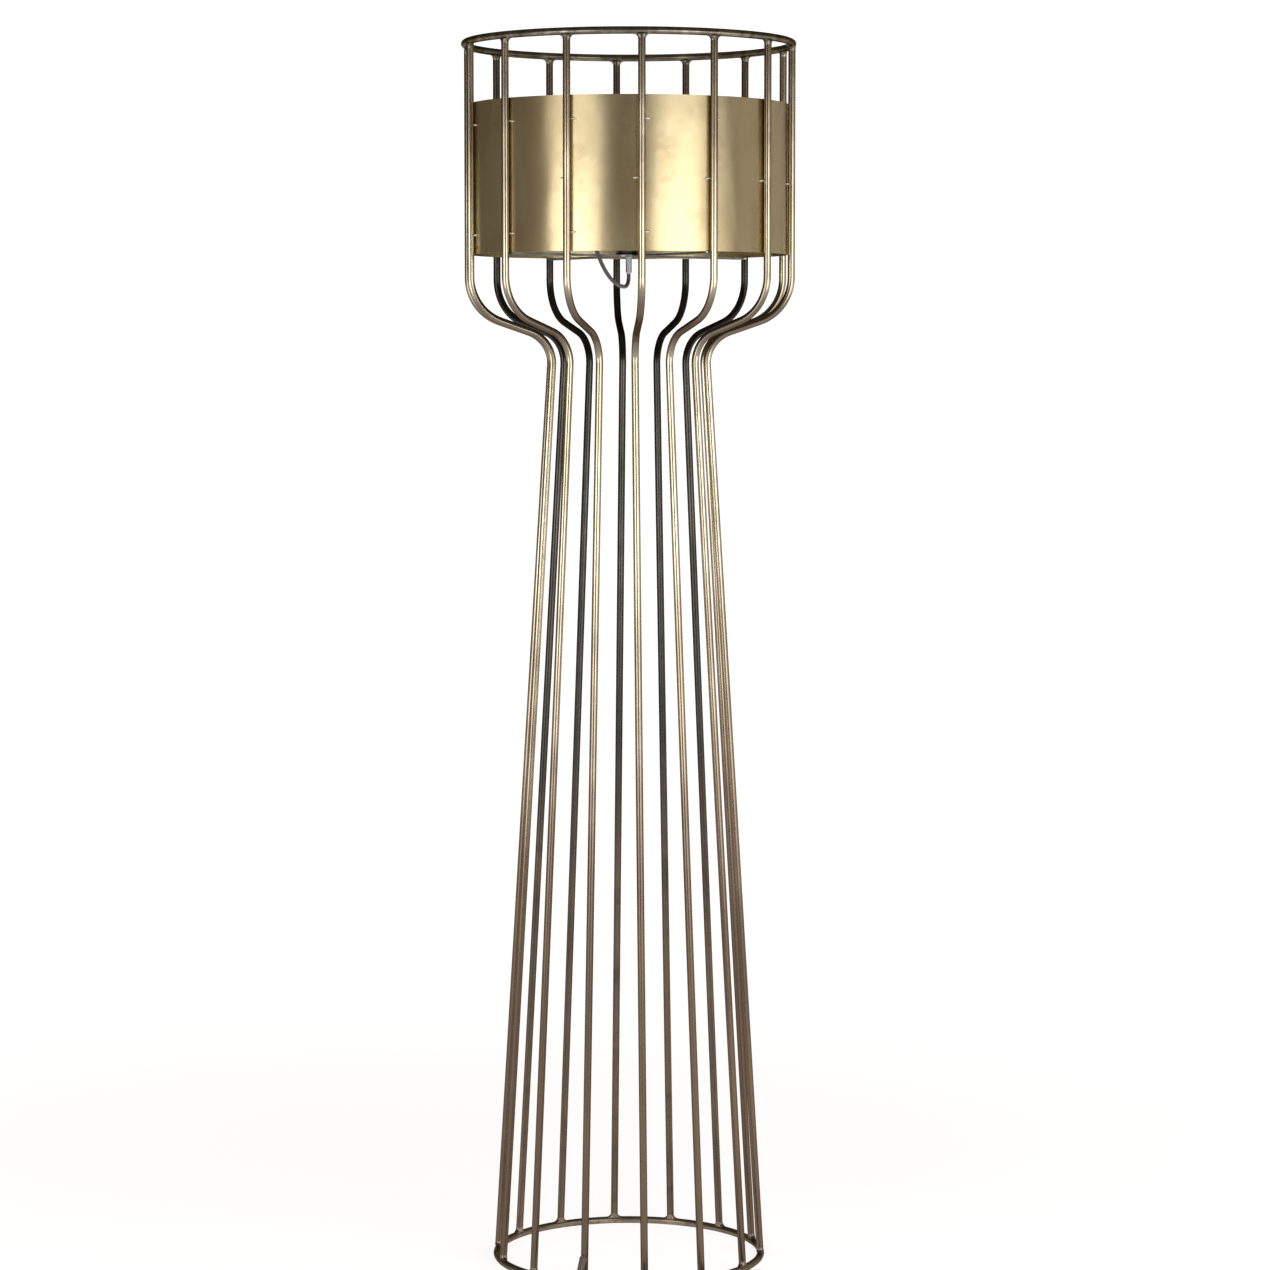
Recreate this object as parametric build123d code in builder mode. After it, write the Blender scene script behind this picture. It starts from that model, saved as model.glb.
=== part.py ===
"""Wire cage floor lamp, in millimetres.

Fourteen bent rods stand on a foot ring, draw in to a waist, flare out again and carry a top ring.
A sheet metal shade is tacked inside the upper cage, and a cross under the shade carries the lampholder.
One of the rods is a tube: the flex goes in behind the shade and comes out at the foot.

+Z is up, the origin is on the floor at the middle of the foot ring, and the lamp's front is -Y.
Angles round the lamp count from the front towards +X.
"""

import os
from math import acos, cos, degrees, pi, radians, sin, sqrt, tan

from build123d import *

os.makedirs("parts", exist_ok=True)

# ---------------------------------------------------------------- driving dimensions
# Cage
lamp_height = 1600.0
rod_diameter = 9.5
top_ring_outer_diameter = 435.0
foot_ring_outer_diameter = 360.0
foot_ring_ground_depth = 0.4  # the foot ring is ground flat underneath, so the lamp stands still
bar_count = 14
front_bar_angle = 4.4  # the bar nearest the front stands this far round
foot_twist = 2.2  # the feet of the bars stand this much further round than their heads
waist_drop = 387.0  # from the lamp's top down to where a bar's slope would meet its leg
shoulder_rise = 38.5  # from there up to where the slope would meet the upright part of the bar
waist_height = lamp_height - waist_drop
shoulder_height = waist_height + shoulder_rise
shoulder_bend_radius = 60.0
waist_radius = 101.5
waist_bend_radius = 43.0
rod_seat_depth = 0.75  # each rod end is let this far into its ring
weld_fillet_radius = 4.5
weld_fillet_width = 5.6

# Shade
shade_drop = 78.0  # from the middle of the top ring's rod to the shade's upper edge
shade_height = 193.5
shade_sheet = 1.0
shade_gap = 0.3  # between the shade and the rods
tack_width = 8.0  # along the shade
tack_height = 2.8
tack_depth = 2.2  # out from the shade
tack_offset = 6.3  # from the middle of a rod to the middle of its bead
tack_chamfer = 0.7
tack_drops = (29.5, 103.0, 170.0)  # below the shade's upper edge: upper, middle and lower row

# Cross, stem and lampholder
cross_thickness = 2.5
cross_arm_width = 12.0
cross_hub_diameter = 42.0
stem_diameter = 8.0
stem_bore = 6.0
stem_hang = 20.0  # how far the stem shows under the cross
stem_rise = 13.0  # how far it goes up into the lampholder
stem_collar_diameter = 10.6
stem_collar_height = 2.4
stem_slack = 0.15
bush_flange_height = 1.6
holder_diameter = 40.0
holder_base_diameter = 33.0
holder_wall = 1.8
holder_cap_height = 20.0
holder_skirt_height = 40.0
holder_core_diameter = 33.0
holder_core_height = 12.0
screw_shell_bore = 27.0
screw_shell_wall = 0.5
screw_shell_height = 22.0
contact_width = 6.0
contact_thickness = 0.6
terminal_screw_diameter = 3.0
terminal_spacing = 22.0

# Bulb
bulb_cap_diameter = 26.4
bulb_cap_height = 24.0
bulb_glass_diameter = 60.0
bulb_length = 105.0
bulb_glass_wall = 1.0

# Flex
cord_diameter = 5.2
cord_clearance = 0.5  # between the flex and the edges of the slots that it runs through
tube_bore = 6.6
core_diameter = 2.0
slot_length = 22.0
entry_slot_rise = 40.25  # from the shade's lower edge up to the middle of the slot behind it
exit_slot_height = 37.5
boot_length = 24.0
boot_root_diameter = 10.0
boot_tip_diameter = 6.8

# Coil of spare flex
coil_radius = 28.0  # at the middle of the turns
coil_turns_across = 4
coil_pitch = 5.75
coil_centre_x = 118.0
coil_sides = 8
tie_width = 8.0
tie_thickness = 0.8
tie_slack = 0.4

# Foot switch
switch_centre = (13.0, -250.0)
switch_length = 74.0
switch_width = 40.0
switch_base_height = 8.0
switch_cover_height = 14.0
switch_wall = 2.2
switch_corner = 15.0
button_diameter = 22.0
button_rise = 3.6
button_travel = 3.0
button_flange = 1.8
running_gap = 0.3
latch_length = 20.0
latch_width = 15.0
latch_height = 9.0
spring_diameter = 9.0
spring_wire = 0.8
spring_turns = 3
switch_screw_diameter = 3.0
switch_screw_spacing = 52.0
switch_screw_offset = 11.0  # each screw stands this far to its side of the flex
button_post_diameter = 5.0

# Plug
plug_distance = 18.0  # from the coil's end to the plug
plug_face_width = 35.0
plug_thickness = 13.7
plug_body_length = 29.5
plug_tail_length = 21.0
plug_tail_diameter = 9.6
pin_diameter = 4.0
pin_length = 19.0
pin_spacing = 18.6
pin_root = 8.0

# ---------------------------------------------------------------- worked out from them
rod_radius = rod_diameter / 2
cord_radius = cord_diameter / 2
top_ring_radius = top_ring_outer_diameter / 2 - rod_radius
foot_ring_radius = foot_ring_outer_diameter / 2 - rod_radius
top_ring_height = lamp_height - rod_radius
foot_ring_height = rod_radius - foot_ring_ground_depth
bar_pitch = 360 / bar_count
bar_angles = [front_bar_angle + bar_pitch * number for number in range(bar_count)]
cord_bar_number = bar_count - 1  # the bar just left of the front one is the tube
cord_bar_angle = bar_angles[cord_bar_number]

shade_outer_radius = top_ring_radius - rod_radius - shade_gap
shade_inner_radius = shade_outer_radius - shade_sheet
shade_top = top_ring_height - shade_drop
shade_bottom = shade_top - shade_height
cross_underside = shade_bottom - cross_thickness
stem_bottom = cross_underside - stem_hang
cord_start = stem_bottom - bush_flange_height
entry_slot_height = shade_bottom + entry_slot_rise


def around(radius, angle, height):
    """The point at a radius and a height, at an angle from the front towards +X."""
    return Vector(radius * sin(radians(angle)), -radius * cos(radians(angle)), height)


def radial_plane(angle, height):
    """A plane on the axis at a height, whose normal points outwards at an angle, with its Y up."""
    outward = around(1, angle, 0)
    return Plane(origin=(0, 0, height), x_dir=Vector(0, 0, 1).cross(outward), z_dir=outward)


def finish(part, label):
    """Names a finished piece and writes it."""
    part.label = label
    export_step(part, f"parts/{label}.step")


# ---------------------------------------------------------------- bars


def bar_corners(angle):
    """The corners of a bar's centreline: on the top ring, shoulder, waist, on the foot ring."""
    return (
        around(top_ring_radius, angle, top_ring_height),
        around(top_ring_radius, angle, shoulder_height),
        around(waist_radius, angle, waist_height),
        around(foot_ring_radius, angle + foot_twist, foot_ring_height),
    )


def rod_plane(ring_point, next_corner, angle):
    """A plane on a ring's centreline, with its Z along the rod that leaves the ring there."""
    along = (next_corner - ring_point).normalized()
    tangent = Vector(cos(radians(angle)), sin(radians(angle)), 0)
    return Plane(origin=ring_point, x_dir=tangent - along * tangent.dot(along), z_dir=along)


def head_plane(angle):
    head, shoulder, _, _ = bar_corners(angle)
    return rod_plane(head, shoulder, angle)


def foot_plane(angle):
    _, _, waist, foot = bar_corners(angle)
    return rod_plane(foot, waist, angle + foot_twist)


rod_seat = rod_radius - rod_seat_depth  # from a ring's centreline to the end of a rod


def bar_path(angle):
    """The centreline of a bar, from its seat under the top ring to its seat on the foot ring."""
    _, shoulder, waist, _ = bar_corners(angle)
    start = head_plane(angle).offset(rod_seat).origin
    end = foot_plane(angle).offset(rod_seat).origin
    FilletPolyline(start, shoulder, waist, end, radius=[shoulder_bend_radius, waist_bend_radius])


for number, angle in enumerate(bar_angles):
    if number == cord_bar_number:
        continue
    with BuildPart() as bar:
        with BuildLine():
            bar_path(angle)
        with BuildSketch(head_plane(angle).offset(rod_seat)):
            Circle(rod_radius)
        sweep()
    finish(bar.part, f"cage_bar_{number + 1:02d}")

# The tube that hides the flex, with a slot behind the shade and one above the foot ring.
slot_width = cord_diameter + 2 * cord_clearance
leg_direction = foot_plane(cord_bar_angle).z_dir
leg_foot = foot_plane(cord_bar_angle).origin
leg_outward = around(1, cord_bar_angle + foot_twist, 0)


def leg_point(outwards, height):
    """A point beside the tube's leg: a distance outwards from its axis, at a height."""
    on_axis = leg_foot + leg_direction * ((height - leg_foot.Z) / leg_direction.Z)
    return on_axis + leg_outward * outwards


entry_plane = Plane(
    origin=around(top_ring_radius, cord_bar_angle, entry_slot_height),
    x_dir=(0, 0, 1),
    z_dir=around(-1, cord_bar_angle, 0),
)
exit_plane = Plane(origin=leg_point(0, exit_slot_height), x_dir=leg_direction, z_dir=leg_outward)

with BuildPart() as cord_bar:
    with BuildLine():
        bar_path(cord_bar_angle)
    with BuildSketch(head_plane(cord_bar_angle).offset(rod_seat)):
        Circle(rod_radius)
        Circle(tube_bore / 2, mode=Mode.SUBTRACT)
    sweep()
    with BuildSketch(entry_plane, exit_plane):
        SlotOverall(slot_length, slot_width)
    extrude(amount=rod_diameter, mode=Mode.SUBTRACT)
finish(cord_bar.part, "cord_bar")

# ---------------------------------------------------------------- rings, with the welds that hold the rods

weld_reach = rod_radius + weld_fillet_radius
weld_root = rod_radius - 1.2  # how deep the weld's flat side is sunk in the ring

with BuildPart() as weld:
    with BuildSketch(Plane.XZ):
        with BuildLine():
            Line((-weld_reach, weld_root), (weld_reach, weld_root))
            Line((weld_reach, weld_root), (weld_reach, rod_radius))
            RadiusArc((weld_reach, rod_radius), (rod_radius, weld_reach), weld_fillet_radius)
            Line((rod_radius, weld_reach), (-rod_radius, weld_reach))
            RadiusArc((-rod_radius, weld_reach), (-weld_reach, rod_radius), weld_fillet_radius)
            Line((-weld_reach, rod_radius), (-weld_reach, weld_root))
        make_face()
    extrude(amount=weld_fillet_width / 2, both=True)


def ring_with_welds(radius, height, rod_planes):
    """A ring of rod, flat where it meets the floor, with a weld and a seat for each rod."""
    with BuildPart() as ring:
        with Locations((0, 0, height)):
            Torus(radius, rod_radius)
        Cylinder(
            radius + rod_diameter,
            rod_diameter,
            align=(Align.CENTER, Align.CENTER, Align.MAX),
            mode=Mode.SUBTRACT,
        )
        for plane in rod_planes:
            with Locations(plane):
                add(weld.part)
            with BuildSketch(plane.offset(rod_seat)):
                Circle(rod_radius)
            extrude(amount=rod_diameter, mode=Mode.SUBTRACT)
    return ring.part


top_ring = ring_with_welds(top_ring_radius, top_ring_height, [head_plane(a) for a in bar_angles])
finish(top_ring, "top_ring")

foot_ring = ring_with_welds(foot_ring_radius, foot_ring_height, [foot_plane(a) for a in bar_angles])
finish(foot_ring, "foot_ring")

# ---------------------------------------------------------------- shade and its tacks

with BuildPart() as shade:
    with BuildSketch(Plane.XY.offset(shade_bottom)):
        Circle(shade_outer_radius)
        Circle(shade_inner_radius, mode=Mode.SUBTRACT)
    extrude(amount=shade_height)
    with BuildSketch(radial_plane(cord_bar_angle, entry_slot_height)):
        SlotOverall(slot_length + 2, slot_width + 2, rotation=90)
    extrude(amount=top_ring_radius, mode=Mode.SUBTRACT)
finish(shade.part, "shade")

# Each tack is a bead of filler that runs from the crevice between a rod and the shade along the shade,
# on alternate sides of the rod from row to row.
bead_turn = degrees(tack_offset / shade_outer_radius)
bead_sink = 0.5  # the bead starts this far inside the shade's face, and is then cut to it
bead_start = Plane(origin=(0, bead_sink - shade_outer_radius, 0), x_dir=(1, 0, 0), z_dir=(0, -1, 0))
tack_rows = zip(("upper", "middle", "lower"), tack_drops, (1, -1, 1))

with BuildPart() as bead:
    with BuildSketch(bead_start):
        SlotOverall(tack_width, tack_height)
    extrude(amount=bead_sink + tack_depth)
    chamfer(bead.edges().group_by(Axis.Y)[0], tack_chamfer)
    Cylinder(shade_outer_radius, 2 * tack_height, mode=Mode.SUBTRACT)
    with Locations(around(top_ring_radius, -bead_turn, 0)):
        Cylinder(rod_radius, 2 * tack_height, mode=Mode.SUBTRACT)

for row_name, drop, side in tack_rows:
    bead_shape = bead.part if side > 0 else mirror(bead.part, about=Plane.YZ)
    with BuildPart() as tacks:
        for angle in bar_angles:
            with Locations(Location((0, 0, shade_top - drop), (0, 0, angle + side * bead_turn))):
                add(bead_shape)
    finish(tacks.part, f"shade_tacks_{row_name}")

# ---------------------------------------------------------------- cross under the shade

# Two strips cross under the shade: each runs from a bar to the bar straight across.
strip_bars = (1, 1 + round(90 / bar_pitch))
strip_length = 2 * shade_outer_radius

with BuildPart() as cross:
    with BuildSketch(Plane.XY.offset(cross_underside)):
        for strip_bar in strip_bars:
            Rectangle(strip_length, cross_arm_width, rotation=bar_angles[strip_bar] - 90)
        Circle(cross_hub_diameter / 2)
        Circle(stem_diameter / 2 + stem_slack, mode=Mode.SUBTRACT)
    extrude(amount=cross_thickness)
finish(cross.part, "shade_cross")

# A bead at each end of a strip holds it to the shade's rim.
cross_tack_radius = 1.7
cross_tack_offset = 0.7
cross_tack_turn = degrees((cross_arm_width / 2 + cross_tack_offset) / shade_outer_radius)
strip_ends = [bar_angles[strip_bar] + turn for strip_bar in strip_bars for turn in (0, 180)]

with BuildPart() as cross_tacks:
    for strip_end in strip_ends:
        rim_middle = shade_outer_radius - shade_sheet / 2
        with Locations(around(rim_middle, strip_end - cross_tack_turn, shade_bottom - cross_tack_offset)):
            Sphere(cross_tack_radius)
    add(shade.part, mode=Mode.SUBTRACT)
    add(cross.part, mode=Mode.SUBTRACT)
finish(cross_tacks.part, "cross_tacks")

# ---------------------------------------------------------------- stem, bush and lampholder

with BuildPart() as stem:
    with BuildSketch(Plane.XY.offset(stem_bottom)):
        Circle(stem_diameter / 2)
    extrude(amount=stem_hang + cross_thickness + stem_rise)
    with BuildSketch(Plane.XY.offset(cross_underside - stem_collar_height)):
        Circle(stem_collar_diameter / 2)
    extrude(amount=stem_collar_height)
    with BuildSketch(Plane.XY.offset(stem_bottom)):
        Circle(stem_bore / 2)
    extrude(until=Until.LAST, mode=Mode.SUBTRACT)
finish(stem.part, "stem")

# The bush is a lipped sleeve in the mouth of the stem. It keeps the flex off the metal edge.
bush_sleeve_length = 8.0
bush_bore = cord_diameter + 0.1
bush_taper = 0.9

with BuildPart() as bush:
    with BuildSketch(Plane.XZ):
        with BuildLine():
            Polyline(
                (bush_bore / 2, stem_bottom + bush_sleeve_length),
                (stem_bore / 2, stem_bottom + bush_sleeve_length),
                (stem_bore / 2, stem_bottom),
                (stem_diameter / 2, stem_bottom),
                (stem_diameter / 2 - bush_taper, cord_start),
                (bush_bore / 2, cord_start),
                close=True,
            )
        make_face()
    revolve()
finish(bush.part, "stem_bush")

holder_radius = holder_diameter / 2
holder_base = shade_bottom
holder_split = holder_base + holder_cap_height
holder_band = holder_split - 4
holder_flank_radius = 24.0
holder_boss_wall = 3.0
holder_boss_radius = stem_diameter / 2 + holder_boss_wall

with BuildPart() as holder_cap:
    with BuildSketch(Plane.XZ):
        with BuildLine():
            base = Line((0, holder_base), (holder_base_diameter / 2, holder_base))
            RadiusArc(base @ 1, (holder_radius, holder_band), -holder_flank_radius)
            Polyline((holder_radius, holder_band), (holder_radius, holder_split), (0, holder_split), base @ 0)
        make_face()
    revolve()
    offset(amount=-holder_wall, openings=holder_cap.faces().sort_by(Axis.Z)[-1])
    with BuildSketch(Plane.XY.offset(holder_base)):
        Circle(holder_boss_radius)
    extrude(amount=stem_rise)
    with BuildSketch(Plane.XY.offset(holder_base)):
        Circle(stem_diameter / 2)
    extrude(amount=stem_rise, mode=Mode.SUBTRACT)
finish(holder_cap.part, "lampholder_cap")

# The core is the porcelain block that carries the contacts, on a step inside the skirt.
core_bottom = holder_split
core_top = core_bottom + holder_core_height
core_step = 2.0
lead_hole_diameter = core_diameter + 0.6
lead_hole_spacing = 10.0

with BuildPart() as holder_core:
    with BuildSketch(Plane.XY.offset(core_bottom)):
        Circle(holder_radius - holder_wall)
    extrude(amount=core_step)
    with BuildSketch(Plane.XY.offset(core_bottom + core_step)):
        Circle(holder_core_diameter / 2)
    extrude(amount=holder_core_height - core_step)
    with BuildSketch(Plane.XY.offset(core_bottom)):
        with GridLocations(terminal_spacing, 0, 2, 1):
            Circle(terminal_screw_diameter / 2)
        with GridLocations(0, lead_hole_spacing, 1, 2):
            Circle(lead_hole_diameter / 2)
    extrude(amount=holder_core_height, mode=Mode.SUBTRACT)
finish(holder_core.part, "lampholder_core")

with BuildPart() as skirt:
    with BuildSketch(Plane.XY.offset(holder_split)):
        Circle(holder_radius)
        Circle(holder_radius - holder_wall, mode=Mode.SUBTRACT)
    extrude(amount=holder_skirt_height)
    fillet(skirt.edges().group_by(Axis.Z)[-1], holder_wall * 0.4)
    with BuildSketch(Plane.XY.offset(core_bottom + core_step)):
        Circle(holder_radius - holder_wall)
        Circle(holder_core_diameter / 2, mode=Mode.SUBTRACT)
    extrude(amount=core_step)
finish(skirt.part, "lampholder_skirt")

shell_outer_radius = screw_shell_bore / 2 + screw_shell_wall
with BuildPart() as screw_shell:
    with BuildSketch(Plane.XY.offset(core_top)):
        Circle(shell_outer_radius)
    extrude(amount=screw_shell_height)
    with BuildSketch(Plane.XY.offset(core_top + screw_shell_wall)):
        Circle(screw_shell_bore / 2)
    extrude(amount=screw_shell_height, mode=Mode.SUBTRACT)
    with BuildSketch(Plane.XY.offset(core_top)):
        Circle(contact_width)
    extrude(amount=screw_shell_wall, mode=Mode.SUBTRACT)
finish(screw_shell.part, "lampholder_screw_shell")

# The middle contact is a bent brass strip that springs against the bulb.
contact_lift = 3.0
with BuildPart() as contact:
    with BuildSketch(Plane.XZ):
        with BuildLine():
            Polyline(
                (-contact_width * 0.7, core_top),
                (-contact_width * 0.3, core_top),
                (contact_width * 0.4, core_top + contact_lift - contact_thickness),
                (contact_width * 0.7, core_top + contact_lift - contact_thickness),
                (contact_width * 0.7, core_top + contact_lift),
                (contact_width * 0.2, core_top + contact_lift),
                (-contact_width * 0.4, core_top + contact_thickness),
                (-contact_width * 0.7, core_top + contact_thickness),
                close=True,
            )
        make_face()
    extrude(amount=contact_width / 3, both=True)
finish(contact.part, "lampholder_contact")

terminal_head_height = 2.4
with BuildPart() as terminal_screws:
    with BuildSketch(Plane.XY.offset(core_bottom)):
        with GridLocations(terminal_spacing, 0, 2, 1):
            Circle(terminal_screw_diameter / 2)
    extrude(amount=holder_core_height - 1)
    with BuildSketch(Plane.XY.offset(core_bottom)):
        with GridLocations(terminal_spacing, 0, 2, 1):
            Circle(terminal_screw_diameter)
    extrude(amount=-terminal_head_height)
finish(terminal_screws.part, "lampholder_terminal_screws")

# ---------------------------------------------------------------- bulb

bulb_bottom = core_top + contact_lift
bulb_top = bulb_bottom + bulb_length
cap_rim = bulb_bottom + bulb_cap_height
glass_radius = bulb_glass_diameter / 2
neck_radius = bulb_cap_diameter / 2 - 0.4
contact_button_radius = 4.5
contact_button_height = 2.0
cap_cone_height = 4.0

with BuildPart() as bulb_cap:
    with BuildSketch(Plane.XZ):
        with BuildLine():
            Polyline(
                (0, bulb_bottom),
                (contact_button_radius, bulb_bottom),
                (contact_button_radius, bulb_bottom + contact_button_height),
                (bulb_cap_diameter / 2, bulb_bottom + contact_button_height + cap_cone_height),
                (bulb_cap_diameter / 2, cap_rim),
                (neck_radius, cap_rim),
                (neck_radius, bulb_bottom + contact_button_height + cap_cone_height + 2),
                (0, bulb_bottom + contact_button_height + cap_cone_height + 2),
                close=True,
            )
        make_face()
    revolve()
finish(bulb_cap.part, "bulb_cap")

# The glass is a ball on a cone: the cone leaves the neck and meets the ball where it is tangent.
glass_seat = cap_rim - 8
glass_middle = bulb_top - glass_radius
neck_reach = sqrt(neck_radius**2 + (glass_middle - cap_rim) ** 2)
cone_angle = degrees(acos(glass_radius / neck_reach) - acos(neck_radius / neck_reach))
with BuildPart() as bulb_glass:
    with BuildSketch(Plane.XZ):
        with BuildLine():
            ball = CenterArc((0, glass_middle), glass_radius, cone_angle, 90 - cone_angle)
            Polyline(ball @ 0, (neck_radius, cap_rim), (neck_radius, glass_seat), (0, glass_seat), ball @ 1)
        make_face()
    revolve()
    offset(amount=-bulb_glass_wall, openings=bulb_glass.faces().sort_by(Axis.Z)[0])
finish(bulb_glass.part, "bulb_glass")

# ---------------------------------------------------------------- flex


def bend_radii(points):
    """The radius at each inner point: 0.45 of the shorter run, over the tangent of half the turn."""
    radii = []
    for before, here, after in zip(points, points[1:], points[2:]):
        half_turn = radians((here - before).get_angle(after - here)) / 2
        shorter = min((here - before).length, (after - here).length)
        radii.append(0.45 * shorter / tan(half_turn))
    return radii


def lay_flex(label, points, radii=None):
    """A free or held stretch of the flex, as straight runs joined by tangent arcs."""
    radii = radii or bend_radii(points)
    with BuildPart() as flex:
        with BuildLine() as route:
            FilletPolyline(*points, radius=radii)
        with BuildSketch(Plane(origin=points[0], z_dir=points[1] - points[0])):
            Circle(cord_radius)
        sweep()
    length = route.wires()[0].length
    filled = flex.part.volume / (pi * cord_radius**2 * length)
    print(label, "length", round(length), "volume over section times length", round(filled, 4))
    print("  bend radii", [round(radius, 1) for radius in radii])
    finish(flex.part, label)


# The loop under the shade: a distance from the lamp's axis towards the tube, and a height, for each point.
loop_route = (
    (0, cord_start),
    (0, shade_bottom - 31.35),
    (3.9, shade_bottom - 37.85),
    (10.4, shade_bottom - 41.15),
    (20, shade_bottom - 41.55),
    (35, shade_bottom - 39.75),
    (50, shade_bottom - 36.55),
    (66, shade_bottom - 31.15),
    (88, shade_bottom - 19.15),
    (107, shade_bottom - 3.25),
    (124.5, entry_slot_height - 22),
    (143, entry_slot_height),
    (160.5, entry_slot_height + 18),
    (172.3, entry_slot_height + 25),
    (183.2, entry_slot_height + 25.5),
    (top_ring_radius - 19.95, entry_slot_height + 21),
    (top_ring_radius - 13.15, entry_slot_height + 12.9),
)
loop_points = [around(out, cord_bar_angle, height) for out, height in loop_route]
loop_end = loop_points[-1]
loop_heading = (loop_end - loop_points[-2]).normalized()
lay_flex("cord_loop", loop_points)

# Inside the tube the flex follows the tube's bends. It comes out through the slot above the foot.
_, shoulder_corner, waist_corner, _ = bar_corners(cord_bar_angle)
in_tube = around(top_ring_radius, cord_bar_angle, entry_slot_height - slot_length / 2)
exit_route = ((0, 10.5), (4.2, 0.5), (12.8, -8.1), (22, -17.3))  # outwards, and up from the slot's middle
way_out = [leg_point(out, exit_slot_height + rise) for out, rise in exit_route]
inner_points = [loop_end, loop_end + loop_heading * 12, in_tube, shoulder_corner, waist_corner, *way_out[:3]]
inner_radii = bend_radii(inner_points)
inner_radii[2] = shoulder_bend_radius
inner_radii[3] = waist_bend_radius
lay_flex("cord_in_bar", inner_points, inner_radii)

# On the floor the flex goes round to the foot switch, and on to the coil.
switch_x, switch_y = switch_centre
switch_left = switch_x - switch_length / 2
switch_right = switch_x + switch_length / 2
switch_inset = 9.0  # how far the flex goes into the switch
switch_entry = switch_base_height

lead_points = [
    way_out[2],
    way_out[3],
    leg_point(37, 9.5),
    leg_point(52, 3.8),
    Vector(-72.5, -226, 2.7),
    Vector(-66, -239, 2.8),
    Vector(-54, -247.5, 4.4),
    Vector(switch_left - 15.5, switch_y, switch_entry - 0.4),
    Vector(switch_left - 2, switch_y + 0.1, switch_entry),
    Vector(switch_left + switch_inset, switch_y, switch_entry),
]
lay_flex("cord_lead", lead_points)

# The coil is one unbroken tube. It spirals in on the floor, climbs a layer and spirals out again.
quarters_in = 4 * coil_turns_across
quarters_up = 2
quarters_out = quarters_in - 1
last_quarter = quarters_in + quarters_up + quarters_out
turnaround = quarters_in + quarters_up / 2
coil_step = coil_pitch / 4
coil_inner_radius = coil_radius - coil_pitch * coil_turns_across / 2
coil_outer_radius = coil_inner_radius + coil_step * turnaround
coil_centre = Vector(coil_centre_x, switch_y + coil_outer_radius)
coil_lower = tie_thickness + tie_slack + cord_radius


def coil_station(quarter):
    """The middle of the flex after some quarter turns from the coil's start."""
    angle = -pi / 2 + quarter * pi / 2
    radius = coil_inner_radius + coil_step * abs(quarter - turnaround)
    climbed = min(max((quarter - quarters_in) / quarters_up, 0), 1)
    height = coil_lower + coil_pitch * climbed * climbed * (3 - 2 * climbed)
    return coil_centre + Vector(radius * cos(angle), radius * sin(angle), height)


def coil_heading(quarter):
    """The direction of the flex at a station."""
    nudge = 0.001
    before = coil_station(max(quarter - nudge, 0))
    after = coil_station(min(quarter + nudge, last_quarter))
    return (after - before).normalized()


def biarc(start, start_heading, end, end_heading):
    """Two tangent arcs from one point and heading to another."""
    gap = end - start
    headings = start_heading + end_heading
    slack = 2 * (1 - start_heading.dot(end_heading))
    along = gap.dot(headings)
    reach = (sqrt(along**2 + slack * gap.dot(gap)) - along) / slack
    middle = (start + end + (start_heading - end_heading) * reach) * 0.5
    middle_heading = end - end_heading * reach - start - start_heading * reach
    TangentArc(start, middle, tangent=start_heading)
    TangentArc(middle, end, tangent=middle_heading)


coil_start = coil_station(0) - coil_heading(0) * cord_diameter
coil_end = coil_station(last_quarter) + coil_heading(last_quarter) * cord_diameter

with BuildPart() as coil:
    with BuildLine() as coil_route:
        Line(coil_start, coil_station(0))
        for quarter in range(last_quarter):
            following = quarter + 1
            biarc(
                coil_station(quarter),
                coil_heading(quarter),
                coil_station(following),
                coil_heading(following),
            )
        Line(coil_station(last_quarter), coil_end)
    with BuildSketch(Plane(origin=coil_start, z_dir=coil_heading(0))):
        RegularPolygon(cord_radius, coil_sides)
    sweep()
finish(coil.part, "cord_coil")

coil_wire = coil_route.wires()[0]
samples = [coil_wire @ (step / 900) for step in range(901)]
apart = [
    (one - other).length
    for place, one in enumerate(samples)
    for other in samples[place + 12 :]
]
least_gap = min(apart) - cord_diameter
print("cord_coil length", round(coil_wire.length), "least gap to itself", round(least_gap, 2))

link_points = [
    Vector(switch_right - switch_inset, switch_y, switch_entry),
    Vector(switch_right + 3, switch_y, switch_entry - 0.1),
    Vector(switch_right + 17, switch_y - 0.6, switch_entry - 2),
    coil_start - coil_heading(0) * 16,
    coil_start,
]
lay_flex("cord_link", link_points)

# From the coil the flex goes on to the plug, which lies flat and points along +Y.
plug_x = coil_end.X + 0.4
plug_start = coil_end.Y + plug_distance
plug_middle = plug_thickness / 2
tail_points = [
    coil_end,
    coil_end + coil_heading(last_quarter) * 6,
    Vector(plug_x, plug_start - 4, plug_middle),
    Vector(plug_x, plug_start + 8, plug_middle),
]
lay_flex("cord_tail", tail_points)

# The tie goes round all the turns at the coil's left side.
tie_inner_width = coil_outer_radius - coil_inner_radius + 2 * tie_slack
tie_inner_height = coil_pitch + cord_diameter + 2 * tie_slack
tie_middle = coil_centre - Vector((coil_outer_radius + coil_inner_radius - coil_step * 2) / 2, 0)
tie_plane = Plane(
    origin=(tie_middle.X, tie_middle.Y, coil_lower + coil_pitch / 2), x_dir=(1, 0, 0), z_dir=(0, 1, 0)
)
with BuildPart() as tie:
    with BuildSketch(tie_plane):
        RectangleRounded(tie_inner_width + 2 * tie_thickness, tie_inner_height + 2 * tie_thickness, 3)
        RectangleRounded(tie_inner_width, tie_inner_height, 2.2, mode=Mode.SUBTRACT)
    extrude(amount=tie_width / 2, both=True)
finish(tie.part, "coil_tie")

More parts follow.
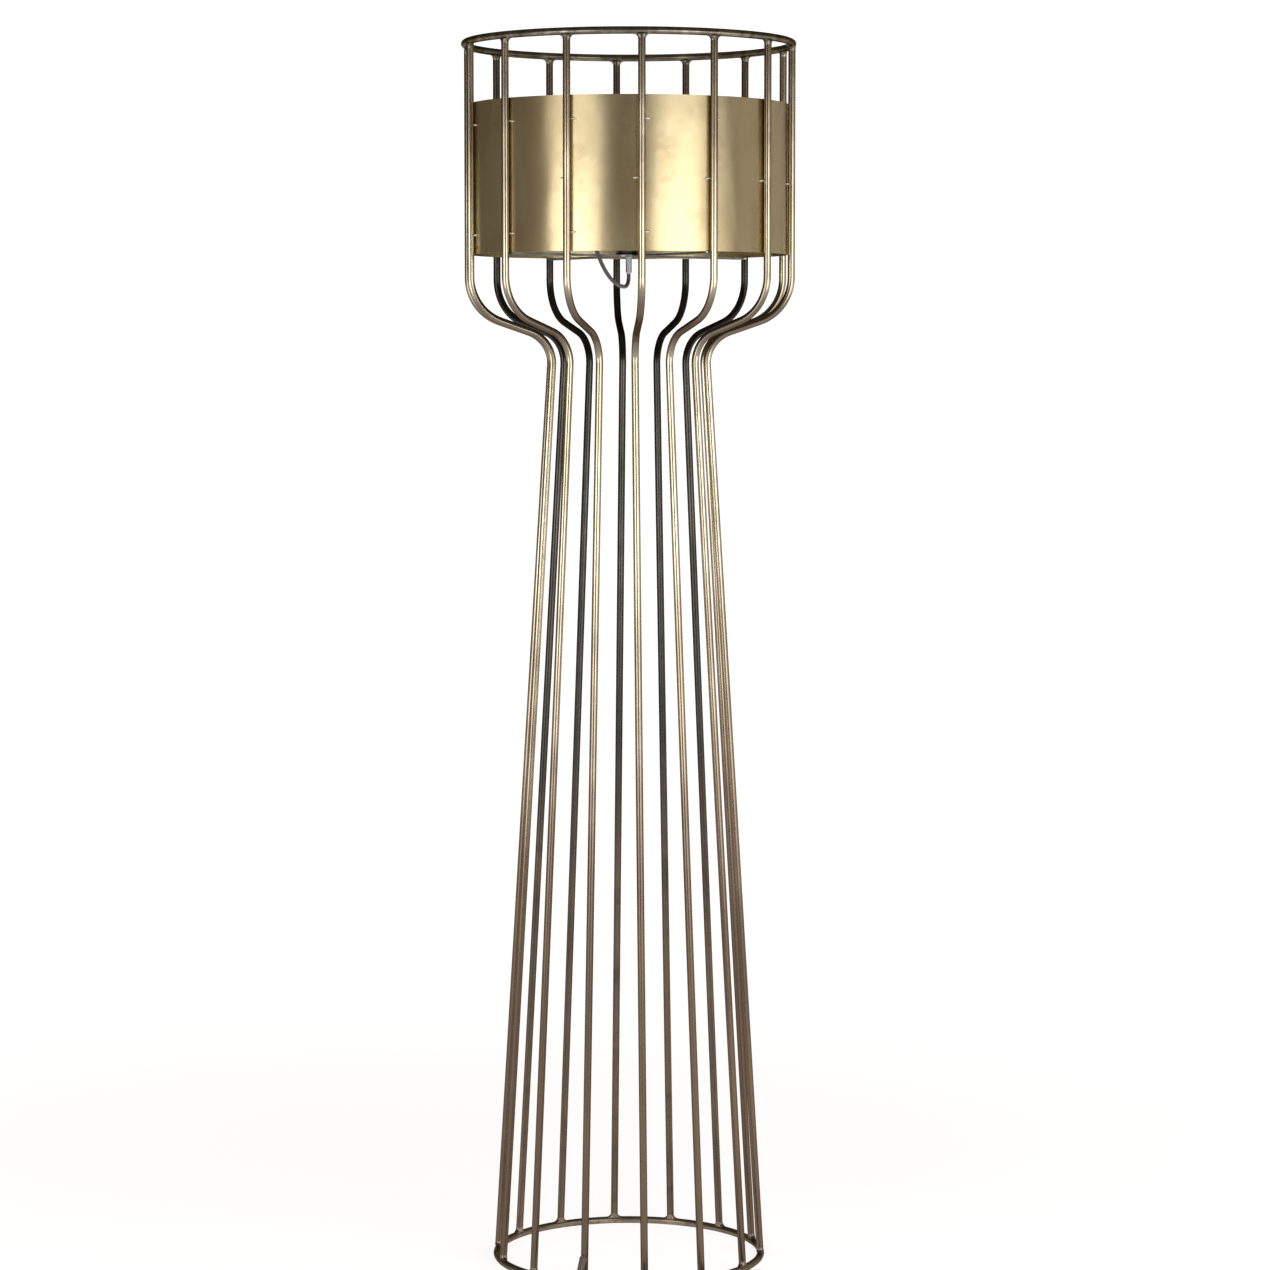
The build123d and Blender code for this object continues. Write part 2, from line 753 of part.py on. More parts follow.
# The boot is a tapered sleeve where the flex leaves the tube, and its bore follows the flex.
boot_heading = (way_out[3] - way_out[2]).normalized()
with BuildPart() as boot:
    with Locations(Plane(origin=way_out[2] - boot_heading * boot_length / 2, z_dir=boot_heading)):
        Cone(
            boot_root_diameter / 2,
            boot_tip_diameter / 2,
            boot_length,
            align=(Align.CENTER, Align.CENTER, Align.MIN),
        )
    with BuildLine():
        FilletPolyline(
            way_out[0],
            way_out[1],
            way_out[3],
            lead_points[2],
            radius=[inner_radii[-1], bend_radii(lead_points)[0]],
        )
    with BuildSketch(Plane(origin=way_out[0], z_dir=way_out[1] - way_out[0])):
        Circle(cord_radius + 0.05)
    sweep(mode=Mode.SUBTRACT)
    with Locations(Plane(origin=leg_foot, z_dir=leg_direction)):
        Cylinder(
            rod_radius,
            4 * exit_slot_height,
            align=(Align.CENTER, Align.CENTER, Align.MIN),
            mode=Mode.SUBTRACT,
        )
finish(boot.part, "cord_boot")

# The grommet lines the shade's slot, with a lip inside the shade.
grommet_lip = 1.2
lip_inside = shade_inner_radius - grommet_lip
slot_plane = radial_plane(cord_bar_angle, entry_slot_height)
with BuildPart() as grommet:
    with BuildSketch(slot_plane.offset(lip_inside - 0.1)):
        SlotOverall(slot_length + 6, slot_width + 6, rotation=90)
    extrude(amount=grommet_lip)
    with BuildSketch(slot_plane.offset(lip_inside)):
        SlotOverall(slot_length + 2, slot_width + 2, rotation=90)
    extrude(amount=grommet_lip + shade_sheet)
    with BuildSketch(slot_plane):
        SlotOverall(slot_length - 0.4, slot_width, rotation=90)
    extrude(amount=top_ring_radius, mode=Mode.SUBTRACT)
finish(grommet.part, "shade_grommet")

# In the stem the flex is held straight, and its two cores go on to the lampholder's terminals.
stem_top = cross_underside + cross_thickness + stem_rise
with BuildPart() as stem_flex:
    with BuildSketch(Plane.XY.offset(cord_start)):
        Circle(cord_radius)
    extrude(amount=stem_top - cord_start)
finish(stem_flex.part, "stem_flex")

lead_rise = core_bottom - stem_top
with BuildPart() as leads:
    for side in (-1, 1):
        with BuildLine():
            FilletPolyline(
                (0, side * core_diameter * 0.6, stem_top),
                (0, side * core_diameter * 0.6, stem_top + lead_rise * 0.3),
                (0, side * lead_hole_spacing / 2, core_bottom - lead_rise * 0.2),
                (0, side * lead_hole_spacing / 2, core_bottom + holder_core_height / 2),
                radius=core_diameter,
            )
        with BuildSketch(Plane.XY.offset(stem_top)):
            with Locations((0, side * core_diameter * 0.6)):
                Circle(core_diameter / 2)
        sweep()
finish(leads.part, "lampholder_leads")

# ---------------------------------------------------------------- foot switch

cover_top = switch_base_height + switch_cover_height
entry_radius = cord_radius + 0.2
pillar_diameter = 7.0
screw_head_diameter = 5.6
screw_head_height = 2.0
pillar_height = 9.0
screw_places = [
    (switch_x - switch_screw_spacing / 2, switch_y + switch_screw_offset),
    (switch_x + switch_screw_spacing / 2, switch_y - switch_screw_offset),
]
entry_plane_x = Plane(origin=(switch_left - 1, switch_y, switch_entry), z_dir=(1, 0, 0))

with BuildPart() as switch_base_part:
    with BuildSketch():
        with Locations(switch_centre):
            RectangleRounded(switch_length, switch_width, switch_corner)
    extrude(amount=switch_base_height)
    fillet(switch_base_part.edges().group_by(Axis.Z)[0], 1.2)
    offset(amount=-switch_wall, openings=switch_base_part.faces().sort_by(Axis.Z)[-1])
    with BuildSketch(Plane.XY.offset(switch_wall / 2)):
        with Locations(*screw_places):
            Circle(pillar_diameter / 2)
    extrude(amount=switch_base_height - switch_wall / 2)
    with BuildSketch():
        with Locations(*screw_places):
            Circle(switch_screw_diameter / 2)
    extrude(amount=switch_base_height, mode=Mode.SUBTRACT)
    with BuildSketch():
        with Locations(*screw_places):
            Circle(screw_head_diameter / 2)
    extrude(amount=screw_head_height + 0.4, mode=Mode.SUBTRACT)
    with BuildSketch(entry_plane_x):
        Circle(entry_radius)
    extrude(amount=switch_length + 2, mode=Mode.SUBTRACT)
finish(switch_base_part.part, "switch_base")

with BuildPart() as switch_cover_part:
    with BuildSketch(Plane.XY.offset(switch_base_height)):
        with Locations(switch_centre):
            RectangleRounded(switch_length, switch_width, switch_corner)
    extrude(amount=switch_cover_height)
    fillet(switch_cover_part.edges().group_by(Axis.Z)[-1], 5)
    offset(amount=-switch_wall, openings=switch_cover_part.faces().sort_by(Axis.Z)[0])
    with BuildSketch(Plane.XY.offset(switch_base_height)):
        with Locations(*screw_places):
            Circle(pillar_diameter / 2)
    extrude(amount=switch_cover_height - switch_wall / 2)
    with BuildSketch(Plane.XY.offset(switch_base_height)):
        with Locations(*screw_places):
            Circle(switch_screw_diameter / 2)
    extrude(amount=pillar_height - 1, mode=Mode.SUBTRACT)
    with BuildSketch(Plane.XY.offset(cover_top)):
        with Locations(switch_centre):
            Circle(button_diameter / 2 + running_gap)
    extrude(amount=-2 * switch_wall, mode=Mode.SUBTRACT)
    with BuildSketch(entry_plane_x):
        Circle(entry_radius)
    extrude(amount=switch_length + 2, mode=Mode.SUBTRACT)
finish(switch_cover_part.part, "switch_cover")

with BuildPart() as switch_screws:
    with BuildSketch(Plane.XY.offset(0.4)):
        with Locations(*screw_places):
            Circle(screw_head_diameter / 2)
    extrude(amount=screw_head_height)
    with BuildSketch(Plane.XY.offset(0.4 + screw_head_height)):
        with Locations(*screw_places):
            Circle(switch_screw_diameter / 2)
    extrude(amount=switch_base_height + pillar_height - 4 - screw_head_height)
finish(switch_screws.part, "switch_screws")

# The button's flange stays under the cover, and its post reaches down to the latch.
flange_top = cover_top - switch_wall - running_gap
button_top = cover_top + button_rise
crown = 2.0
latch_top = switch_wall + latch_height
post_bottom = latch_top + button_travel + running_gap
with BuildPart() as button:
    with BuildSketch(Plane.XY.offset(flange_top - button_flange)):
        with Locations(switch_centre):
            Circle(button_diameter / 2)
    extrude(amount=button_top - flange_top + button_flange)
    fillet(button.edges().group_by(Axis.Z)[-1], 1.2)
    with BuildSketch(Plane.XY.offset(flange_top - button_flange)):
        with Locations(switch_centre):
            Circle(button_diameter / 2 + button_flange)
    extrude(amount=button_flange)
    with BuildSketch(Plane.XY.offset(flange_top - button_flange)):
        with Locations(switch_centre):
            Circle(button_diameter / 2 - crown)
    extrude(amount=button_top - flange_top + button_flange - crown, mode=Mode.SUBTRACT)
    with BuildSketch(Plane.XY.offset(post_bottom)):
        with Locations(switch_centre):
            Circle(button_post_diameter / 2)
    extrude(amount=button_top - crown - post_bottom)
finish(button.part, "switch_button")

with BuildPart() as latch:
    with BuildSketch(Plane.XY.offset(switch_wall)):
        with Locations(switch_centre):
            Rectangle(latch_length, latch_width)
    extrude(amount=latch_height)
    chamfer(latch.edges().group_by(Axis.Z)[-1], 0.8)
finish(latch.part, "switch_latch")

spring_radius = (spring_diameter - spring_wire) / 2
spring_height = button_top - crown - latch_top - spring_wire
spring_foot = Vector(switch_x, switch_y, latch_top + spring_wire / 2)
with BuildPart() as spring:
    with BuildLine():
        winding = Helix(spring_height / spring_turns, spring_height, spring_radius, center=spring_foot)
    with BuildSketch(Plane(origin=winding @ 0, z_dir=winding % 0)):
        RegularPolygon(spring_wire / 2, 6)
    sweep(is_frenet=True)
finish(spring.part, "switch_spring")

# ---------------------------------------------------------------- plug

body_start = plug_start + plug_tail_length
plug_face = body_start + plug_body_length


def plug_plane(y):
    """A plane across the plug at y, with its normal along +Y and its X towards -X."""
    return Plane(origin=(plug_x, y, plug_middle), x_dir=(-1, 0, 0), z_dir=(0, 1, 0))


with BuildPart() as plug:
    with BuildSketch(plug_plane(body_start)):
        RectangleRounded(plug_tail_diameter + 3, plug_tail_diameter + 1, 4)
    with BuildSketch(plug_plane(body_start + plug_body_length * 0.45)):
        RectangleRounded(plug_face_width * 0.72, plug_thickness, 5)
    with BuildSketch(plug_plane(plug_face)):
        RectangleRounded(plug_face_width, plug_thickness, 5)
    loft(ruled=True)
    with BuildSketch(plug_plane(plug_start)):
        Circle(plug_tail_diameter / 2 - 1.4)
    with BuildSketch(plug_plane(body_start)):
        Circle(plug_tail_diameter / 2)
    loft()
    with BuildSketch(plug_plane(plug_face)):
        with GridLocations(pin_spacing, 0, 2, 1):
            Circle(pin_diameter / 2)
    extrude(amount=-pin_root, mode=Mode.SUBTRACT)
    with BuildSketch(plug_plane(plug_start)):
        Circle(cord_radius + 0.02)
    extrude(amount=8, mode=Mode.SUBTRACT)
finish(plug.part, "plug_body")

with BuildPart() as pins:
    with BuildSketch(plug_plane(plug_face - pin_root)):
        with GridLocations(pin_spacing, 0, 2, 1):
            Circle(pin_diameter / 2)
    extrude(amount=pin_root + pin_length)
    fillet(pins.edges().group_by(Axis.Y)[-1], pin_diameter * 0.4)
finish(pins.part, "plug_pins")
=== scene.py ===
# %% [markdown]
# # Wire cage floor lamp: the finishes
# The lamp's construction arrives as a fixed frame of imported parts, in metres, with +Z up and the front
# towards -Y. This script gives each part its finish, and models again, smoother and finer, the parts whose
# look needs it.

# %% The frame, and a few helpers
from math import cos, pi, radians, sin, tan
from random import Random

import bpy
from mathutils import Matrix, Vector


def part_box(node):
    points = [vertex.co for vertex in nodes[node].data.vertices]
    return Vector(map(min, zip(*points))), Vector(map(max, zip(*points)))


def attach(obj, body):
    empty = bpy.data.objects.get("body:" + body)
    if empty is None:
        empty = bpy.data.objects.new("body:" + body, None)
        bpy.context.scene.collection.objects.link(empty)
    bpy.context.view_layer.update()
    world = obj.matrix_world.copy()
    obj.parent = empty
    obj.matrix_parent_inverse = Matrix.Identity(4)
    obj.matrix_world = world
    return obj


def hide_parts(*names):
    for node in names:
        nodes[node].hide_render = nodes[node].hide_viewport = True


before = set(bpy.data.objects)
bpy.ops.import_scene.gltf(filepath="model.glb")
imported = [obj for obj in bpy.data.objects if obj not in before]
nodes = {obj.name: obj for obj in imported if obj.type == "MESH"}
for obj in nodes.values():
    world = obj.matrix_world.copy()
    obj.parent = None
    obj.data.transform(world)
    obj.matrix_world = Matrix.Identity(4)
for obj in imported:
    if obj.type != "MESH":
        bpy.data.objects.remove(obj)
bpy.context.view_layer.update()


def deselect():
    """Leaves nothing selected and no edit mode open, which every operator below starts from."""
    if bpy.context.object and bpy.context.object.mode != "OBJECT":
        bpy.ops.object.mode_set(mode="OBJECT")
    bpy.ops.object.select_all(action="DESELECT")


def around(radius, angle, height):
    """The point at a radius and a height, at an angle in degrees from the front towards +X."""
    return Vector((radius * sin(radians(angle)), -radius * cos(radians(angle)), height))


# %% [markdown]
# ## The camera
# The photograph was taken from 4.7 m away at chest height, with a long lens tilted a little down. The
# picture is square, so the lens's focal length follows from its focal length in pixels and the 36 mm
# sensor.

# %% Camera
picture_size = 1270
focal_pixels = 3600.2
sensor_width = 36.0
camera_place = (0, -4.715, 1.1962)
camera_tilt_down = radians(4.475)
camera_turn_right = radians(0.0995)

deselect()
bpy.ops.object.camera_add(location=camera_place)
camera = bpy.context.object
camera.rotation_euler = (pi / 2 - camera_tilt_down, 0, -camera_turn_right)
camera.data.sensor_width = sensor_width
camera.data.lens = focal_pixels / picture_size * sensor_width
bpy.context.scene.camera = camera
print("lens in mm", round(camera.data.lens, 2))

# %% [markdown]
# ## Sizes
# These are the lamp's real sizes, in metres. Where the frame knows a size, it is read from the frame.

# %% Sizes of the cage and the shade
lamp_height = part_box("top_ring")[1][2]
rod_radius = 0.00475
top_ring_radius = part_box("top_ring")[1][0] - rod_radius
foot_ring_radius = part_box("foot_ring")[1][0] - rod_radius
foot_ground_depth = 0.0004
top_ring_height = lamp_height - rod_radius
foot_ring_height = rod_radius - foot_ground_depth
bar_count = 14
front_bar_angle = 4.4
foot_twist = 2.2
bar_angles = [front_bar_angle + 360 / bar_count * number for number in range(bar_count)]
shoulder_height, shoulder_bend = 1.2515, 0.060
waist_radius, waist_height, waist_bend = 0.1015, 1.2130, 0.043
seat_depth = 0.00075
rod_seat = rod_radius - seat_depth
shade_low, shade_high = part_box("shade")
shade_radius = shade_high[0]
shade_sheet = 0.001
print("ring radii", round(top_ring_radius, 5), round(foot_ring_radius, 5), "shade", round(shade_radius, 5))

# %% [markdown]
# ## Effects that the finishes share
# Antique brass is brass that was darkened in a bath and rubbed back by hand. So it has clouds of darker and
# lighter metal, with stains and specks, and a faintly wavy face. The rods also get painted shade by height:
# darker towards the foot and round the bends. Each effect is a node group, built once and used with its own
# values.

# %% Node groups


def new_group(name, inputs, outputs):
    """A shader node group with named float or colour sockets. Returns it with its two ends."""
    group = bpy.data.node_groups.new(name, "ShaderNodeTree")
    for socket_name, kind, value in inputs:
        socket = group.interface.new_socket(socket_name, in_out="INPUT", socket_type=kind)
        socket.default_value = value
    for socket_name, kind in outputs:
        group.interface.new_socket(socket_name, in_out="OUTPUT", socket_type=kind)
    entry = group.nodes.new("NodeGroupInput")
    leave = group.nodes.new("NodeGroupOutput")
    return group, entry, leave


def object_pattern(group, stretch):
    """Object coordinates, stretched by three factors."""
    place = group.nodes.new("ShaderNodeTexCoord")
    mapping = group.nodes.new("ShaderNodeMapping")
    mapping.inputs["Scale"].default_value = stretch
    group.links.new(place.outputs["Object"], mapping.inputs["Vector"])
    return mapping.outputs["Vector"]


def noise(group, vector, scale, detail=4.0, roughness=0.55, distortion=0.0):
    """A noise texture whose scale is a number or a socket."""
    texture = group.nodes.new("ShaderNodeTexNoise")
    group.links.new(vector, texture.inputs["Vector"])
    if isinstance(scale, bpy.types.NodeSocket):
        group.links.new(scale, texture.inputs["Scale"])
    else:
        texture.inputs["Scale"].default_value = scale
    texture.inputs["Detail"].default_value = detail
    texture.inputs["Roughness"].default_value = roughness
    texture.inputs["Distortion"].default_value = distortion
    return texture.outputs["Fac"]


def calculate(group, operation, first, second=None, clamp=False):
    """The result of a sum, product or the like, of sockets or numbers."""
    node = group.nodes.new("ShaderNodeMath")
    node.operation = operation
    node.use_clamp = clamp
    for place, value in enumerate((first, second)):
        if isinstance(value, bpy.types.NodeSocket):
            group.links.new(value, node.inputs[place])
        elif value is not None:
            node.inputs[place].default_value = value
    return node.outputs[0]


def spread(group, value, low, high, to_low=0.0, to_high=1.0):
    """Maps a value from one range to another, smoothly and clamped."""
    node = group.nodes.new("ShaderNodeMapRange")
    node.interpolation_type = "SMOOTHSTEP"
    group.links.new(value, node.inputs["Value"])
    for socket, number in (("From Min", low), ("From Max", high), ("To Min", to_low), ("To Max", to_high)):
        if isinstance(number, bpy.types.NodeSocket):
            group.links.new(number, node.inputs[socket])
        else:
            node.inputs[socket].default_value = number
    return node.outputs["Result"]


def mix(group, amount, first, second):
    """Mixes two colours, given as sockets or values."""
    node = group.nodes.new("ShaderNodeMix")
    node.data_type = "RGBA"
    factor_place, first_place, second_place, result_place = 0, 6, 7, 2
    for socket, value in ((factor_place, amount), (first_place, first), (second_place, second)):
        if isinstance(value, bpy.types.NodeSocket):
            group.links.new(value, node.inputs[socket])
        else:
            node.inputs[socket].default_value = value
    return node.outputs[result_place]


def build_patina():
    """Clouds of dark and light metal, with stains and fine specks. Puts out colour, roughness and height."""
    group, entry, leave = new_group(
        "rubbed_patina",
        [
            ("Light", "NodeSocketColor", (0.8, 0.65, 0.4, 1)),
            ("Middle", "NodeSocketColor", (0.5, 0.4, 0.22, 1)),
            ("Dark", "NodeSocketColor", (0.12, 0.09, 0.05, 1)),
            ("Cloud Scale", "NodeSocketFloat", 12.0),
            ("Speck Scale", "NodeSocketFloat", 900.0),
            ("Darkness", "NodeSocketFloat", 0.5),
            ("Specks", "NodeSocketFloat", 0.2),
            ("Smooth Roughness", "NodeSocketFloat", 0.25),
            ("Dull Roughness", "NodeSocketFloat", 0.45),
        ],
        [("Color", "NodeSocketColor"), ("Roughness", "NodeSocketFloat"), ("Height", "NodeSocketFloat")],
    )
    even = object_pattern(group, (1, 1, 1))
    upright = object_pattern(group, (1, 1, 0.35))
    clouds = noise(group, upright, entry.outputs["Cloud Scale"], 6.0, 0.6, 0.8)
    stain_scale = calculate(group, "MULTIPLY", entry.outputs["Cloud Scale"], 2.7)
    stains = noise(group, even, stain_scale, 5.0, 0.62, 0.4)
    specks = noise(group, even, entry.outputs["Speck Scale"], 2.0, 0.5)
    worn = spread(group, clouds, 0.42, 0.66)
    stained = spread(group, stains, 0.5, 0.72)
    dirty = calculate(group, "MULTIPLY", stained, entry.outputs["Darkness"])
    speckled = calculate(group, "MULTIPLY", spread(group, specks, 0.60, 0.74), entry.outputs["Specks"])
    base = mix(group, worn, entry.outputs["Middle"], entry.outputs["Light"])
    darkened = mix(group, dirty, base, entry.outputs["Dark"])
    group.links.new(mix(group, speckled, darkened, entry.outputs["Dark"]), leave.inputs["Color"])
    dull_dirt = calculate(group, "MULTIPLY", dirty, 0.8)
    dull_specks = calculate(group, "MULTIPLY", specks, 0.2)
    dullness = calculate(group, "ADD", dull_dirt, dull_specks, clamp=True)
    smooth, dull = entry.outputs["Smooth Roughness"], entry.outputs["Dull Roughness"]
    roughness = spread(group, dullness, 0.0, 1.0, smooth, dull)
    group.links.new(roughness, leave.inputs["Roughness"])
    wave_scale = calculate(group, "MULTIPLY", entry.outputs["Cloud Scale"], 2.2)
    waves = noise(group, upright, wave_scale, 1.0, 0.35)
    height = calculate(group, "ADD", waves, calculate(group, "MULTIPLY", stains, 0.05))
    group.links.new(height, leave.inputs["Height"])
    return group


def build_grain():
    """A moulded or drawn surface: one colour with faint clouding and a fine grain."""
    group, entry, leave = new_group(
        "fine_grain",
        [
            ("Base", "NodeSocketColor", (0.1, 0.1, 0.1, 1)),
            ("Shade", "NodeSocketColor", (0.05, 0.05, 0.05, 1)),
            ("Cloud Scale", "NodeSocketFloat", 40.0),
            ("Grain Scale", "NodeSocketFloat", 1500.0),
            ("Low Roughness", "NodeSocketFloat", 0.35),
            ("High Roughness", "NodeSocketFloat", 0.5),
        ],
        [("Color", "NodeSocketColor"), ("Roughness", "NodeSocketFloat"), ("Height", "NodeSocketFloat")],
    )
    even = object_pattern(group, (1, 1, 1))
    clouds = noise(group, even, entry.outputs["Cloud Scale"], 5.0, 0.6)
    grain = noise(group, even, entry.outputs["Grain Scale"], 2.0, 0.5)
    shaded = spread(group, clouds, 0.35, 0.7)
    group.links.new(mix(group, shaded, entry.outputs["Base"], entry.outputs["Shade"]), leave.inputs["Color"])
    low, high = entry.outputs["Low Roughness"], entry.outputs["High Roughness"]
    roughness = spread(group, grain, 0.3, 0.7, low, high)
    group.links.new(roughness, leave.inputs["Roughness"])
    group.links.new(grain, leave.inputs["Height"])
    return group


def build_painted_shade_by_height():
    """Painted shade by height: the low colour towards the foot, the high colour above, painted shade at the
    bends, and low again on top.
    """
    group, entry, leave = new_group(
        "shade_painted_by_height",
        [
            ("High", "NodeSocketColor", (0.5, 0.4, 0.25, 1)),
            ("Low", "NodeSocketColor", (0.2, 0.15, 0.1, 1)),
            ("Low Height", "NodeSocketFloat", 0.2),
            ("High Height", "NodeSocketFloat", 1.1),
            ("Top Height", "NodeSocketFloat", 1.56),
            ("Top Darkness", "NodeSocketFloat", 0.6),
            ("Bend", "NodeSocketColor", (0.13, 0.10, 0.075, 1)),
            ("Bend Height", "NodeSocketFloat", 1.235),
            ("Bend Reach", "NodeSocketFloat", 0.07),
            ("Bend Darkness", "NodeSocketFloat", 0.0),
        ],
        [("Color", "NodeSocketColor")],
    )
    place = group.nodes.new("ShaderNodeTexCoord")
    axes = group.nodes.new("ShaderNodeSeparateXYZ")
    group.links.new(place.outputs["Object"], axes.inputs[0])
    drift = noise(group, place.outputs["Object"], 5.0, 3.0)
    drift_reach, crown_depth, bend_core = 0.7, 0.28, 0.25
    drifted = calculate(group, "MULTIPLY", calculate(group, "SUBTRACT", drift, 0.5), drift_reach)
    height = calculate(group, "ADD", axes.outputs["Z"], drifted)
    # painted shade: from the low colour near the foot up to the high colour
    raised = spread(group, height, entry.outputs["Low Height"], entry.outputs["High Height"])
    crown_start = calculate(group, "SUBTRACT", entry.outputs["Top Height"], crown_depth)
    crown = spread(group, height, crown_start, entry.outputs["Top Height"])
    lost = calculate(group, "MULTIPLY", crown, entry.outputs["Top Darkness"])
    kept = calculate(group, "SUBTRACT", 1.0, lost)
    # painted shade round the bends, strongest at the bend height and fading out over the bend reach
    above_bend = calculate(group, "SUBTRACT", axes.outputs["Z"], entry.outputs["Bend Height"])
    from_bend = calculate(group, "ABSOLUTE", above_bend)
    bend_reach = entry.outputs["Bend Reach"]
    bent = spread(group, from_bend, calculate(group, "MULTIPLY", bend_reach, bend_core), bend_reach, 1.0, 0.0)
    highness = calculate(group, "MULTIPLY", raised, kept)
    toned = mix(group, highness, entry.outputs["Low"], entry.outputs["High"])
    darkened = calculate(group, "MULTIPLY", bent, entry.outputs["Bend Darkness"])
    group.links.new(mix(group, darkened, toned, entry.outputs["Bend"]), leave.inputs["Color"])
    return group


patina = build_patina()
grain = build_grain()
painted_shade_by_height = build_painted_shade_by_height()
print("node groups", [group.name for group in bpy.data.node_groups])

# %% [markdown]
# ## The metals
# Each metal is the patina group with its own three colours, ahead of one Principled shader. A little bump
# from the group's waves breaks up the reflections, as the hand-rubbed sheet does. Dark edges keep the metal
# from shining white where it is seen at a low angle.

# %% Materials from the groups


def finish_material(name, group, values, metallic, bump_distance, bump_strength=0.5, **sockets):
    """A material whose colour, roughness and bump come from a group."""
    material = bpy.data.materials.new(name)
    material.use_nodes = True
    tree = material.node_tree
    shader = tree.nodes["Principled BSDF"]
    pattern = tree.nodes.new("ShaderNodeGroup")
    pattern.node_tree = group
    for socket, value in values.items():
        pattern.inputs[socket].default_value = value
    bump = tree.nodes.new("ShaderNodeBump")
    bump.inputs["Strength"].default_value = bump_strength
    bump.inputs["Distance"].default_value = bump_distance
    tree.links.new(pattern.outputs["Color"], shader.inputs["Base Color"])
    tree.links.new(pattern.outputs["Roughness"], shader.inputs["Roughness"])
    tree.links.new(pattern.outputs["Height"], bump.inputs["Height"])
    tree.links.new(bump.outputs["Normal"], shader.inputs["Normal"])
    shader.inputs["Metallic"].default_value = metallic
    for socket, value in sockets.items():
        shader.inputs[socket].default_value = value
    return material


dark_edge = (0.34, 0.29, 0.25, 1)
pale_edge = (0.8, 0.78, 0.75, 1)


def metal(
    name, light, middle, dark, clouds, darkness, smooth, dull, bump=0.00002, specks=0.15, edge=dark_edge
):
    """A patinated metal from three colours."""
    values = {
        "Light": (*light, 1),
        "Middle": (*middle, 1),
        "Dark": (*dark, 1),
        "Cloud Scale": clouds,
        "Darkness": darkness,
        "Specks": specks,
        "Smooth Roughness": smooth,
        "Dull Roughness": dull,
    }
    return finish_material(name, patina, values, 1.0, bump, **{"Specular Tint": edge})


def paint_shade_by_height(material, light, middle, **heights):
    """Lets a patinated metal's light and middle colours change with the height through the painted-shade
    group, from a low colour each.
    """
    tree = material.node_tree
    pattern = next(node for node in tree.nodes if node.type == "GROUP")
    for socket, low in (("Light", light), ("Middle", middle)):
        tone = tree.nodes.new("ShaderNodeGroup")
        tone.node_tree = painted_shade_by_height
        tone.inputs["High"].default_value = pattern.inputs[socket].default_value
        tone.inputs["Low"].default_value = (*low, 1)
        for name, value in heights.items():
            tone.inputs[name.replace("_", " ").title()].default_value = value
        tree.links.new(tone.outputs["Color"], pattern.inputs[socket])


def moulded(name, base, shade, low, high, clouds=40.0, metallic=0.0, bump=0.00003):
    """A plastic, rubber or plain metal from two colours."""
    values = {
        "Base": (*base, 1),
        "Shade": (*shade, 1),
        "Cloud Scale": clouds,
        "Low Roughness": low,
        "High Roughness": high,
    }
    return finish_material(name, grain, values, metallic, bump)


rod_brass = metal(
    "rod_brass", (0.60, 0.54, 0.405), (0.42, 0.36, 0.25), (0.13, 0.10, 0.075),
    7, 0.35, 0.22, 0.32, 0.00001, 0.0,
)
# painted shade on the rods: darker towards the foot and round the bends
paint_shade_by_height(
    rod_brass, (0.17, 0.12, 0.08), (0.13, 0.092, 0.065),
    low_height=0.45, high_height=1.2, top_darkness=0.7, bend_darkness=0.9,
)
# painted shade: the rear rods' copy of the brass, dark under the shade and lighter again towards the foot
rear_shaded_brass = metal(
    "rear_rod_painted_shade", (0.075, 0.068, 0.057), (0.048, 0.044, 0.038), (0.03, 0.028, 0.025),
    9, 0.4, 0.26, 0.36, 0.00001, 0.0,
)
paint_shade_by_height(rear_shaded_brass, (0.17, 0.122, 0.085), (0.125, 0.092, 0.068), high_height=0.75, top_darkness=0.7)
top_brass = metal(
    "top_ring_brass", (0.27, 0.23, 0.17), (0.13, 0.115, 0.09), (0.045, 0.04, 0.033),
    30, 0.7, 0.28, 0.45,
)
foot_brass = metal(
    "foot_ring_brass", (0.30, 0.24, 0.18), (0.21, 0.17, 0.13), (0.07, 0.056, 0.044),
    30, 0.6, 0.34, 0.5,
)
shade_brass = metal(
    "shade_brass", (0.54, 0.47, 0.29), (0.47, 0.38, 0.22), (0.26, 0.19, 0.105),
    8, 0.3, 0.25, 0.36, 0.0032, 0.1, edge=pale_edge,
)
solder = metal("tack_solder", (0.95, 0.92, 0.84), (0.86, 0.82, 0.72), (0.30, 0.26, 0.2), 260, 0.15, 0.45, 0.6)
bright_solder = metal(
    "bright_solder", (0.85, 0.84, 0.80), (0.65, 0.63, 0.60), (0.2, 0.19, 0.18),
    260, 0.4, 0.25, 0.4,
)
strip_steel = metal(
    "strip_steel", (0.36, 0.35, 0.33), (0.22, 0.215, 0.20), (0.06, 0.055, 0.05),
    35, 0.6, 0.38, 0.55,
)
stem_metal = metal(
    "stem_metal", (0.40, 0.40, 0.40), (0.32, 0.32, 0.32), (0.16, 0.16, 0.155),
    60, 0.4, 0.5, 0.6,
)
contact_brass = metal(
    "contact_brass", (0.85, 0.68, 0.34), (0.72, 0.56, 0.27), (0.3, 0.22, 0.1),
    80, 0.3, 0.25, 0.4,
)
screw_steel = metal(
    "screw_steel", (0.75, 0.75, 0.74), (0.60, 0.60, 0.59), (0.25, 0.25, 0.24),
    150, 0.3, 0.25, 0.4,
)
cap_aluminium = metal(
    "cap_aluminium", (0.85, 0.85, 0.84), (0.75, 0.75, 0.74), (0.4, 0.4, 0.39),
    90, 0.3, 0.22, 0.35,
)
pin_nickel = metal(
    "pin_nickel", (0.82, 0.81, 0.78), (0.74, 0.73, 0.70), (0.4, 0.39, 0.37),
    120, 0.2, 0.18, 0.3,
)

